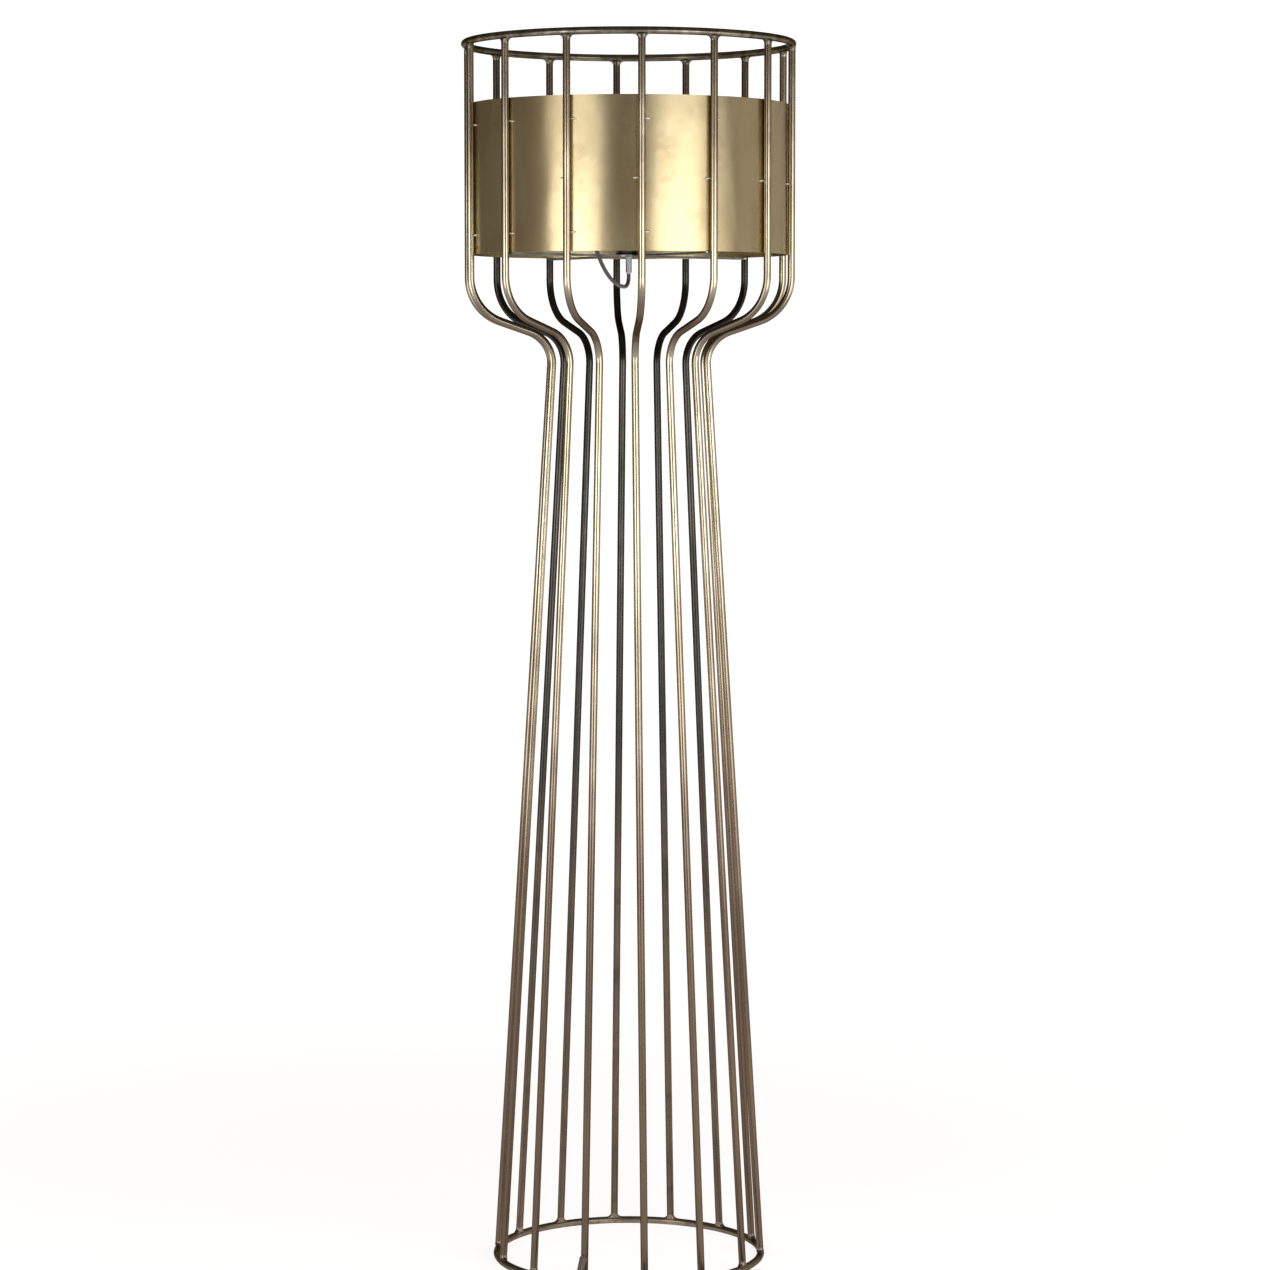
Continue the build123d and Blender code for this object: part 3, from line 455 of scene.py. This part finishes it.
phenolic = moulded("black_phenolic", (0.018, 0.017, 0.016), (0.03, 0.028, 0.026), 0.28, 0.42)
porcelain = moulded("porcelain", (0.80, 0.78, 0.73), (0.74, 0.72, 0.67), 0.12, 0.2)
bush_plastic = moulded("bush_plastic", (0.72, 0.70, 0.66), (0.66, 0.64, 0.60), 0.35, 0.5)
lead_plastic = moulded("lead_plastic", (0.14, 0.20, 0.38), (0.10, 0.15, 0.30), 0.4, 0.55)
flex_sheath = moulded("flex_sheath", (0.085, 0.075, 0.068), (0.055, 0.049, 0.045), 0.42, 0.58, 70)
black_rubber = moulded("black_rubber", (0.022, 0.022, 0.022), (0.035, 0.034, 0.033), 0.5, 0.68)
# a brown boot to match the rods, made lighter as painted light against the shade at the foot
brown_rubber_painted_light = moulded("brown_rubber_painted_light", (0.17, 0.13, 0.10), (0.13, 0.10, 0.08), 0.45, 0.6)
strap_web = moulded("strap_web", (0.02, 0.02, 0.021), (0.04, 0.04, 0.041), 0.7, 0.85, 200, bump=0.0001)
switch_plastic = moulded("switch_plastic", (0.020, 0.019, 0.019), (0.032, 0.031, 0.030), 0.32, 0.46)
button_plastic = moulded("button_plastic", (0.035, 0.034, 0.033), (0.050, 0.048, 0.047), 0.42, 0.56)
latch_plastic = moulded("latch_plastic", (0.62, 0.61, 0.56), (0.55, 0.54, 0.50), 0.4, 0.55)
opal_glass = moulded("opal_glass", (0.88, 0.87, 0.83), (0.85, 0.84, 0.80), 0.10, 0.16)
print("materials", len(bpy.data.materials))

# %% [markdown]
# ## Parts that keep their own shape
# The small turned and pressed parts come from the frame as they are, and only get their finish.

# %% Finishes on the frame's own parts
plain_finishes = {
    bright_solder: ["cross_tacks"],
    strip_steel: ["shade_cross"],
    stem_metal: ["stem"],
    bush_plastic: ["stem_bush"],
    phenolic: ["lampholder_cap", "lampholder_skirt"],
    porcelain: ["lampholder_core"],
    contact_brass: ["lampholder_screw_shell", "lampholder_contact"],
    screw_steel: ["lampholder_terminal_screws", "switch_screws", "switch_spring"],
    lead_plastic: ["lampholder_leads"],
    cap_aluminium: ["bulb_cap"],
    opal_glass: ["bulb_glass"],
    flex_sheath: ["cord_in_bar", "stem_flex"],
    black_rubber: ["shade_grommet", "plug_body"],
    brown_rubber_painted_light: ["cord_boot"],
    strap_web: ["coil_tie"],
    switch_plastic: ["switch_base", "switch_cover"],
    button_plastic: ["switch_button"],
    latch_plastic: ["switch_latch"],
    pin_nickel: ["plug_pins"],
}


def wear(piece, material):
    """Gives a piece one material."""
    piece.data.materials.clear()
    piece.data.materials.append(material)


for material, names in plain_finishes.items():
    for name in names:
        slots = nodes[name].material_slots
        if slots:
            slots[0].material = material
        else:
            nodes[name].data.materials.append(material)

# %% [markdown]
# ## The rods
# A rod is a round bar bent twice: out at the waist and up again at the shoulder. The two bends lie in
# planes that differ a little, since the feet stand further round than the heads. A circle is drawn at the
# head, extruded down to the bend, spun round the bend's centre, and so on, as a bender works along the real
# bar.

# %% One rod
ring_sides = 28
bend_steps = 16


def bar_corners(angle):
    """The corners of a rod's centreline, from the top ring to the foot ring."""
    return (
        around(top_ring_radius, angle, top_ring_height),
        around(top_ring_radius, angle, shoulder_height),
        around(waist_radius, angle, waist_height),
        around(foot_ring_radius, angle + foot_twist, foot_ring_height),
    )


def spin_bend(before, corner, after, bend_radius, at):
    """Extrudes the open end from a point to a bend, and spins it round. Returns where the bend ends."""
    way_in = (corner - before).normalized()
    way_out = (after - corner).normalized()
    turn = way_in.angle(way_out)
    reach = bend_radius * tan(turn / 2)
    bend_start = corner - way_in * reach
    bend_end = corner + way_out * reach
    bpy.ops.mesh.extrude_region_move(TRANSFORM_OT_translate={"value": bend_start - at})
    axis = way_in.cross(way_out).normalized()
    centre = bend_start + axis.cross(way_in) * bend_radius
    bpy.ops.mesh.spin(steps=bend_steps, angle=-turn, center=centre, axis=axis)
    return bend_end


def bend_rod(name, angle):
    """A whole rod as one closed mesh."""
    head, shoulder, waist, foot = bar_corners(angle)
    start = head + (shoulder - head).normalized() * rod_seat
    end = foot + (waist - foot).normalized() * rod_seat
    deselect()
    bpy.ops.mesh.primitive_circle_add(vertices=ring_sides, radius=rod_radius, location=start)
    rod = bpy.context.object
    rod.name = name
    bpy.ops.object.transform_apply(location=True, rotation=True, scale=True)
    bpy.ops.object.mode_set(mode="EDIT")
    bpy.ops.mesh.select_all(action="SELECT")
    after_shoulder = spin_bend(start, shoulder, waist, shoulder_bend, start)
    after_waist = spin_bend(shoulder, waist, foot, waist_bend, after_shoulder)
    bpy.ops.mesh.extrude_region_move(TRANSFORM_OT_translate={"value": end - after_waist})
    bpy.ops.mesh.edge_face_add()
    bpy.ops.mesh.select_all(action="SELECT")
    bpy.ops.mesh.fill_holes(sides=0)
    bpy.ops.mesh.normals_make_consistent(inside=False)
    bpy.ops.object.mode_set(mode="OBJECT")
    bpy.ops.object.shade_smooth_by_angle(angle=radians(40))
    return rod


first_rod = bend_rod("rod_01", bar_angles[0])
wear(first_rod, rod_brass)
print("one rod", len(first_rod.data.polygons), "faces")

# %% [markdown]
# The other rods are copies of the first, each with its own mesh turned round the lamp's axis. The turn goes
# into the mesh, so that every piece stays at the origin.

# %% All the rods


def turned_copy(piece, name, angle):
    """A copy of a piece with its own mesh, turned round the lamp's axis by an angle in degrees."""
    copy = piece.copy()
    copy.data = piece.data.copy()
    copy.name = name
    copy.data.transform(Matrix.Rotation(radians(angle), 4, "Z"))
    bpy.context.collection.objects.link(copy)
    return copy


rear_limit = -0.4  # a rod is a rear one if its angle from the front has a cosine below this
rods = [first_rod]
for number in range(1, bar_count):
    rods.append(turned_copy(first_rod, f"rod_{number + 1:02d}", bar_angles[number] - bar_angles[0]))
for number, rod in enumerate(rods):
    node = "cord_bar" if number == bar_count - 1 else f"cage_bar_{number + 1:02d}"
    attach(rod, "lamp")
    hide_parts(node)
    # the rear rods get the copy of the brass with painted shade
    if cos(radians(bar_angles[number])) < rear_limit:
        wear(rod, rear_shaded_brass)

# %% [markdown]
# ## The rings
# Both rings are the same round bar bent into a circle, with each rod brazed on. The filler metal runs out
# along the ring to both sides of a rod, and so makes a small flared foot. The foot ring is ground flat
# underneath.

# %% Rings and brazed joints
ring_segments = 280
fillet_reach = 0.0056
fillet_steps = 7
braze_skin = 0.00012
snug_share = 0.3
skirt_share = 0.2


def bend_ring(name, radius, height):
    """A ring of round bar, ground flat where it would reach below the floor."""
    deselect()
    bpy.ops.mesh.primitive_torus_add(
        major_segments=ring_segments,
        minor_segments=ring_sides,
        major_radius=radius,
        minor_radius=rod_radius,
        location=(0, 0, height),
    )
    ring = bpy.context.object
    ring.name = name
    bpy.ops.object.transform_apply(location=True, rotation=True, scale=True)
    bpy.ops.object.mode_set(mode="EDIT")
    bpy.ops.mesh.select_all(action="SELECT")
    bpy.ops.mesh.bisect(plane_co=(0, 0, 0), plane_no=(0, 0, 1), clear_inner=True, use_fill=True)
    bpy.ops.object.mode_set(mode="OBJECT")
    return ring


def braze(ring, ring_point, along, tangent):
    """The flared filler round one rod's end, drawn down onto the ring."""
    across = along.cross(tangent).normalized()
    sideways = across.cross(along).normalized()
    place = Matrix((sideways, across, along)).transposed().to_4x4()
    place.translation = ring_point
    deselect()
    bpy.ops.mesh.primitive_circle_add(vertices=ring_sides, radius=rod_radius + braze_skin * snug_share)
    collar = bpy.context.object
    bpy.ops.object.mode_set(mode="EDIT")
    bpy.ops.mesh.select_all(action="SELECT")
    bpy.ops.transform.translate(value=(0, 0, rod_radius + fillet_reach))
    widest = rod_radius
    for step in range(1, fillet_steps + 1):
        turn = pi / 2 * step / fillet_steps
        wide = rod_radius + fillet_reach * (1 - cos(turn))
        down = fillet_reach * (sin(turn) - sin(pi / 2 * (step - 1) / fillet_steps))
        bpy.ops.mesh.extrude_region_move(TRANSFORM_OT_translate={"value": (0, 0, -down)})
        bpy.ops.transform.resize(value=(wide / widest, 1, 1), center_override=(0, 0, 0))
        widest = wide
    bpy.ops.mesh.extrude_region_move(TRANSFORM_OT_translate={"value": (0, 0, -fillet_reach * skirt_share)})
    bpy.ops.object.mode_set(mode="OBJECT")
    last = collar.vertex_groups.new(name="edge")
    last.add(range(len(collar.data.vertices) - 2 * ring_sides, len(collar.data.vertices)), 1.0, "REPLACE")
    collar.data.transform(place)
    wrap = collar.modifiers.new("onto_ring", "SHRINKWRAP")
    wrap.target = ring
    wrap.vertex_group = "edge"
    wrap.offset = braze_skin
    bpy.context.view_layer.objects.active = collar
    bpy.ops.object.modifier_apply(modifier=wrap.name)
    return collar


def brazed_ring(name, node, radius, height, joints, material):
    """A ring with all its brazed joints, as one piece."""
    ring = bend_ring(name, radius, height)
    collars = [braze(ring, *joint) for joint in joints]
    deselect()
    for piece in (ring, *collars):
        piece.select_set(True)
    bpy.context.view_layer.objects.active = ring
    bpy.ops.object.join()
    bpy.ops.object.mode_set(mode="EDIT")
    bpy.ops.mesh.select_all(action="SELECT")
    bpy.ops.mesh.normals_make_consistent(inside=False)
    bpy.ops.object.mode_set(mode="OBJECT")
    bpy.ops.object.shade_smooth_by_angle(angle=radians(50))
    ring.vertex_groups.clear()
    wear(ring, material)
    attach(ring, "lamp")
    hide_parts(node)
    return ring


def tangent(angle):
    """The level direction along a ring, at an angle in degrees from the front."""
    return Vector((cos(radians(angle)), sin(radians(angle)), 0))


top_joints = []
foot_joints = []
for angle in bar_angles:
    head, shoulder, waist, foot = bar_corners(angle)
    top_joints.append((head, (shoulder - head).normalized(), tangent(angle)))
    foot_joints.append((foot, (waist - foot).normalized(), tangent(angle + foot_twist)))
top_ring = brazed_ring("ring_top", "top_ring", top_ring_radius, top_ring_height, top_joints, top_brass)
foot_ring = brazed_ring("ring_foot", "foot_ring", foot_ring_radius, foot_ring_height, foot_joints, foot_brass)
print("rings", len(top_ring.data.polygons), len(foot_ring.data.polygons), "faces")

# %% [markdown]
# ## The shade
# The shade is a strip of brass sheet rolled into a drum. It is an open cylinder here, given its sheet
# thickness inwards, with a slot cut where the flex goes through to the tube.

# %% Shade
shade_segments = 288
cord_bar_angle = bar_angles[-1] - 360
slot_height, slot_length, slot_width = 1.364, 0.024, 0.0082
cutter_depth = 0.02


def roll_shade():
    """The drum, with its slot."""
    deselect()
    bpy.ops.mesh.primitive_cylinder_add(
        vertices=shade_segments,
        radius=shade_radius,
        depth=shade_high[2] - shade_low[2],
        end_fill_type="NOTHING",
        location=(0, 0, (shade_high[2] + shade_low[2]) / 2),
    )
    drum = bpy.context.object
    drum.name = "drum_shade"
    bpy.ops.object.transform_apply(location=True, rotation=True, scale=True)
    wall = drum.modifiers.new("sheet", "SOLIDIFY")
    wall.thickness = shade_sheet
    wall.offset = -1
    bpy.ops.object.modifier_apply(modifier=wall.name)
    return drum


def slot_cutter(centre, outward, upward, length, width, depth):
    """A block with rounded ends, to cut a slot with."""
    sideways = upward.cross(outward).normalized()
    place = Matrix((sideways, upward.normalized(), outward.normalized())).transposed().to_4x4()
    place.translation = centre
    deselect()
    bpy.ops.mesh.primitive_circle_add(vertices=32, radius=width / 2, fill_type="NGON")
    cutter = bpy.context.object
    half_run = (length - width) / 2
    for vertex in cutter.data.vertices:
        vertex.co.y += half_run if vertex.co.y > 0 else -half_run
    bpy.ops.object.mode_set(mode="EDIT")
    bpy.ops.mesh.select_all(action="SELECT")
    bpy.ops.mesh.extrude_region_move(TRANSFORM_OT_translate={"value": (0, 0, depth)})
    bpy.ops.mesh.select_all(action="SELECT")
    bpy.ops.mesh.normals_make_consistent(inside=False)
    bpy.ops.object.mode_set(mode="OBJECT")
    cutter.data.transform(place)
    return cutter


def cut(piece, cutter):
    """Cuts one piece from another and takes the cutter away."""
    deselect()
    bpy.context.view_layer.objects.active = piece
    boolean = piece.modifiers.new("cut", "BOOLEAN")
    boolean.operation = "DIFFERENCE"
    boolean.solver = "EXACT"
    boolean.object = cutter
    bpy.ops.object.modifier_apply(modifier=boolean.name)
    bpy.data.objects.remove(cutter)


drum = roll_shade()
slot_start = around(shade_radius - cutter_depth / 2, cord_bar_angle, slot_height)
slot_outward = around(1, cord_bar_angle, 0)
slot_upward = Vector((0, 0, 1))
cut(drum, slot_cutter(slot_start, slot_outward, slot_upward, slot_length, slot_width, cutter_depth))
deselect()
drum.select_set(True)
bpy.context.view_layer.objects.active = drum
bpy.ops.object.shade_smooth_by_angle(angle=radians(30))
wear(drum, shade_brass)
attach(drum, "lamp")
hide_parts("shade")
print("shade", len(drum.data.polygons), "faces")

# %% [markdown]
# ## The tacks
# A welder ran a short bead of filler from the crevice beside each rod along the shade, and left it bright.
# A bead is a ball whose two halves are drawn apart along the shade. One is modelled, and each copy is bent
# out of true a little.

# %% Tack beads
bead_length, bead_height, bead_depth = 0.0087, 0.0029, 0.0026
bead_rows = {"shade_tacks_upper": 1, "shade_tacks_middle": -1, "shade_tacks_lower": 1}
bead_gap = 0.0061
bead_sides, bead_rings = 16, 12
bead_slope = 0.12  # how far a bead may lean, as a slope
bead_swell = (0.85, 1.15)  # the least and the most that its height is multiplied by
bead_taper = 0.35  # how much lower it gets along its length, away from the rod


def model_bead():
    """One bead at the lamp's front, in the shade's face, at height zero."""
    deselect()
    bpy.ops.mesh.primitive_uv_sphere_add(
        segments=bead_sides, ring_count=bead_rings, radius=0.5, rotation=(0, pi / 2, 0)
    )
    bead = bpy.context.object
    bpy.ops.object.transform_apply(location=False, rotation=True, scale=False)
    bead.scale = (bead_height, bead_depth * 2, bead_height)
    bpy.ops.object.transform_apply(location=False, rotation=False, scale=True)
    half_run = (bead_length - bead_height) / 2
    middle_ring = bead_height / 100
    for vertex in bead.data.vertices:
        if abs(vertex.co.x) > middle_ring:
            vertex.co.x += half_run if vertex.co.x > 0 else -half_run
    bpy.ops.object.mode_set(mode="EDIT")
    bpy.ops.mesh.select_all(action="SELECT")
    bpy.ops.transform.translate(value=(0, -shade_radius, 0))
    bpy.ops.object.mode_set(mode="OBJECT")
    bpy.ops.object.shade_smooth()
    return bead


def bead_row(name, side, height, pattern_bead, luck):
    """All the beads of one row, as one piece."""
    beads = []
    for angle in bar_angles:
        bead = turned_copy(pattern_bead, name, 0)
        slope, swell = luck.uniform(-bead_slope, bead_slope), luck.uniform(*bead_swell)
        for vertex in bead.data.vertices:
            along = vertex.co.x / bead_length
            vertex.co.z = vertex.co.z * swell * (1 - bead_taper * side * along) + slope * vertex.co.x + height
        bead.data.transform(Matrix.Rotation(radians(angle) + side * bead_gap / shade_radius, 4, "Z"))
        beads.append(bead)
    deselect()
    for bead in beads:
        bead.select_set(True)
    bpy.context.view_layer.objects.active = beads[0]
    bpy.ops.object.join()
    return beads[0]


luck = Random(14)
pattern_bead = model_bead()
for node, side in bead_rows.items():
    low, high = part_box(node)
    row = bead_row(node.replace("shade_tacks", "beads"), side, (low[2] + high[2]) / 2, pattern_bead, luck)
    wear(row, solder)
    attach(row, "lamp")
    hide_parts(node)
bpy.data.objects.remove(pattern_bead)
print("bead rows", list(bead_rows))

# %% [markdown]
# ## The flex
# The flex is one round cable. Each free stretch is a smooth curve drawn along given points: from the
# stem up behind the shade's wall, and from the foot to the switch, the coil and the plug.

# %% Flex
flex_diameter = 0.0052
flex_radius = flex_diameter / 2
switch_low, switch_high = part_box("switch_base")
switch_x = (switch_low[0] + switch_high[0]) / 2
switch_y = (switch_low[1] + switch_high[1]) / 2
switch_entry = switch_high[2]
switch_inset = 0.009
flex_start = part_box("stem_bush")[0][2]


def lay_flex(name, points):
    """A smooth curve with the flex's thickness. Returns it with its length."""
    curve = bpy.data.curves.new(name, "CURVE")
    curve.dimensions = "3D"
    spline = curve.splines.new("NURBS")
    spline.points.add(len(points) - 1)
    for point, place in zip(spline.points, points):
        point.co = (*place, 1)
    spline.order_u = 3
    spline.use_endpoint_u = True
    spline.resolution_u = 8
    curve.bevel_depth = flex_radius
    curve.bevel_resolution = 4
    curve.use_fill_caps = True
    piece = bpy.data.objects.new(name, curve)
    bpy.context.collection.objects.link(piece)
    curve.materials.append(flex_sheath)
    line = curve.copy()
    line.bevel_depth = 0
    bare = bpy.data.objects.new("line", line)
    mesh = bpy.data.meshes.new_from_object(bare)
    steps = [[mesh.vertices[end].co for end in edge.vertices] for edge in mesh.edges]
    length = sum((start - stop).length for start, stop in steps)
    bpy.data.objects.remove(bare)
    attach(piece, "lamp")
    print(name, "length", round(length, 4))
    return piece, length


loop_route = (
    (0, flex_start),
    (0, 1.2924),
    (0.0039, 1.2859),
    (0.0104, 1.2826),
    (0.0200, 1.2822),
    (0.0350, 1.2840),
    (0.0500, 1.2872),
    (0.0660, 1.2926),
    (0.0880, 1.3046),
    (0.1070, 1.3205),
    (0.1245, 1.3420),
    (0.1430, 1.3640),
    (0.1605, 1.3820),
    (0.1723, 1.3890),
    (0.1832, 1.3895),
    (0.1928, 1.3850),
    (0.1996, 1.3769),
)
loop_points = [around(out, cord_bar_angle, height) for out, height in loop_route]
loop, loop_length = lay_flex("flex_loop", loop_points)
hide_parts("cord_loop")

# %% [markdown]
# Where the flex leaves the tube, its place is given beside the tube's leaning leg, as a distance outwards
# and a height.

# %% Flex from the foot to the switch
_, _, waist_corner, leg_foot = bar_corners(cord_bar_angle)
leg_direction = (waist_corner - leg_foot).normalized()
leg_outward = around(1, cord_bar_angle + foot_twist, 0)


def leg_point(outwards, height):
    """A point beside the tube's leg: a distance outwards from its axis, at a height."""
    on_axis = leg_foot + leg_direction * ((height - leg_foot.z) / leg_direction.z)
    return on_axis + leg_outward * outwards


lead_points = [
    leg_point(0.0128, 0.0294),
    leg_point(0.0220, 0.0202),
    leg_point(0.0370, 0.0095),
    leg_point(0.0520, 0.0038),
    Vector((-0.0725, -0.226, 0.0027)),
    Vector((-0.066, -0.239, 0.0028)),
    Vector((-0.054, -0.2475, 0.0044)),
    Vector((-0.0395, switch_y, switch_entry - 0.0004)),
    Vector((switch_low[0] - 0.002, switch_y + 0.0001, switch_entry)),
    Vector((switch_low[0] + switch_inset, switch_y, switch_entry)),
]
lead, lead_length = lay_flex("flex_lead", lead_points)
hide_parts("cord_lead")

# %% [markdown]
# The spare flex lies in a flat coil of two layers. It spirals in on the floor, climbs to the upper layer
# and spirals out again. A loop works the turns out, with sixteen points to each turn.

# %% Coil
coil_turns = 4
coil_pitch = 0.00575
coil_middle_radius = 0.028
coil_centre_x = 0.118
strap_thickness = 0.0008
strap_gap = 0.0004
coil_floor = strap_thickness + strap_gap + flex_radius
points_per_quarter = 4
quarters_in = 4 * coil_turns
quarters_up = 2
last_quarter = quarters_in + quarters_up + quarters_in - 1
turnaround = quarters_in + quarters_up / 2
coil_inner = coil_middle_radius - coil_pitch * coil_turns / 2
coil_outer = coil_inner + coil_pitch / 4 * turnaround
coil_centre = Vector((coil_centre_x, switch_y + coil_outer, 0))


def coil_station(quarter):
    """The middle of the flex after some quarter turns from the coil's start."""
    angle = -pi / 2 + quarter * pi / 2
    radius = coil_inner + coil_pitch / 4 * abs(quarter - turnaround)
    climbed = min(max((quarter - quarters_in) / quarters_up, 0), 1)
    eased = climbed * climbed * (3 - 2 * climbed)
    height = coil_floor + coil_pitch * eased
    return coil_centre + Vector((radius * cos(angle), radius * sin(angle), height))


def coil_heading(quarter):
    """The direction of the flex at a station."""
    nudge = 0.001
    ahead = coil_station(min(quarter + nudge, last_quarter))
    behind = coil_station(max(quarter - nudge, 0))
    return (ahead - behind).normalized()


coil_start = coil_station(0) - coil_heading(0) * flex_diameter
coil_end = coil_station(last_quarter) + coil_heading(last_quarter) * flex_diameter
link_points = [
    Vector((switch_high[0] - switch_inset, switch_y, switch_entry)),
    Vector((switch_high[0] + 0.003, switch_y, switch_entry - 0.0001)),
    Vector((switch_high[0] + 0.017, switch_y - 0.0006, switch_entry - 0.002)),
    coil_start - coil_heading(0) * 0.016,
    coil_start,
]
last_step = last_quarter * points_per_quarter
turn_points = [coil_station(step / points_per_quarter) for step in range(last_step + 1)]
plug_low, plug_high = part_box("plug_body")
plug_x = (plug_low[0] + plug_high[0]) / 2
plug_middle = (plug_low[2] + plug_high[2]) / 2
tail_points = [
    coil_end,
    coil_end + coil_heading(last_quarter) * 0.006,
    Vector((plug_x, plug_low[1] - 0.004, plug_middle)),
    Vector((plug_x, plug_low[1] + 0.008, plug_middle)),
]
coil, coil_length = lay_flex("flex_coil", link_points + turn_points + tail_points)
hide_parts("cord_link", "cord_coil", "cord_tail")

# %% [markdown]
# ## The studio
# A pale floor runs out on all sides, with a pale wall behind the lamp. Two tall soft lights stand in front,
# one each side of the camera, and throw the two bright bands on the shade. A weaker one stands further
# round on the right, and a wide faint one beside the lamp. The room is dim, and shows as the darker band
# between the lights.

# %% Floor, wall, lights and world
floor_reach, wall_distance, wall_half_width, wall_height = 12.0, 8.0, 2.4, 3.0
floor_glow = (1.68, 1.95)
wall_glow = (2.0, 2.0)
near_edge, far_edge = 0.5, 3.0
glow_share = 0.5


def studio_white(name, near, far):
    """A pale surface, half lit and half glowing, with the glow's strength near the lamp and far from it."""
    material = bpy.data.materials.new(name)
    material.use_nodes = True
    tree = material.node_tree
    shader = tree.nodes["Principled BSDF"]
    shader.inputs["Base Color"].default_value = (0.85, 0.85, 0.85, 1)
    shader.inputs["Roughness"].default_value = 0.9
    place = tree.nodes.new("ShaderNodeTexCoord")
    reach = tree.nodes.new("ShaderNodeVectorMath")
    reach.operation = "LENGTH"
    tree.links.new(place.outputs["Object"], reach.inputs[0])
    glow = tree.nodes.new("ShaderNodeEmission")
    strength = spread(tree, reach.outputs["Value"], near_edge, far_edge, near, far)
    tree.links.new(strength, glow.inputs["Strength"])
    path = tree.nodes.new("ShaderNodeLightPath")
    seen = calculate(tree, "MAXIMUM", path.outputs["Is Camera Ray"], path.outputs["Is Glossy Ray"])
    seen = calculate(tree, "MAXIMUM", seen, path.outputs["Is Transmission Ray"])
    blend = tree.nodes.new("ShaderNodeMixShader")
    tree.links.new(calculate(tree, "MULTIPLY", seen, glow_share), blend.inputs[0])
    tree.links.new(shader.outputs[0], blend.inputs[1])
    tree.links.new(glow.outputs[0], blend.inputs[2])
    tree.links.new(blend.outputs[0], tree.nodes["Material Output"].inputs["Surface"])
    return material


def studio_sheet(name, corners, near, far):
    """A flat pale sheet between four corners."""
    mesh = bpy.data.meshes.new(name)
    mesh.from_pydata(corners, [], [(0, 1, 2, 3)])
    sheet = bpy.data.objects.new(name, mesh)
    bpy.context.collection.objects.link(sheet)
    wear(sheet, studio_white(name + "_white", near, far))


studio_sheet(
    "studio_floor",
    [
        (-floor_reach, -floor_reach, 0),
        (floor_reach, -floor_reach, 0),
        (floor_reach, floor_reach, 0),
        (-floor_reach, floor_reach, 0),
    ],
    *floor_glow,
)
studio_sheet(
    "studio_wall",
    [
        (-wall_half_width, wall_distance, 0),
        (wall_half_width, wall_distance, 0),
        (wall_half_width, wall_distance, wall_height),
        (-wall_half_width, wall_distance, wall_height),
    ],
    *wall_glow,
)


def soft_light(name, angle, distance, low, high, width, radiance):
    """An upright soft light at an angle round the lamp, from one height to another, facing the lamp."""
    deselect()
    bpy.ops.object.light_add(type="AREA", location=around(distance, angle, (low + high) / 2))
    light = bpy.context.object
    light.name = name
    light.data.shape = "RECTANGLE"
    light.data.size = width
    light.data.size_y = high - low
    light.data.energy = radiance * pi * width * (high - low)
    light.rotation_euler = around(-1, angle, 0).to_track_quat("-Z", "Y").to_euler()


light_distance = 2.4
soft_light("left_light", -38, light_distance, low=0.35, high=1.60, width=1.38, radiance=4.0)
soft_light("right_light", 35, light_distance, low=0.35, high=1.60, width=1.45, radiance=4.2)
soft_light("right_edge", 63, light_distance, low=0.35, high=1.60, width=0.8, radiance=1.5)
soft_light("right_fill", 112, light_distance, low=0.2, high=2.0, width=3.0, radiance=0.4)

room_colour = (0.18, 0.153, 0.127, 1)
world = bpy.data.worlds.new("studio_air")
world.use_nodes = True
background = world.node_tree.nodes["Background"]
background.inputs["Color"].default_value = room_colour
background.inputs["Strength"].default_value = 1.0
bpy.context.scene.world = world
bpy.context.scene.view_settings.view_transform = "Standard"
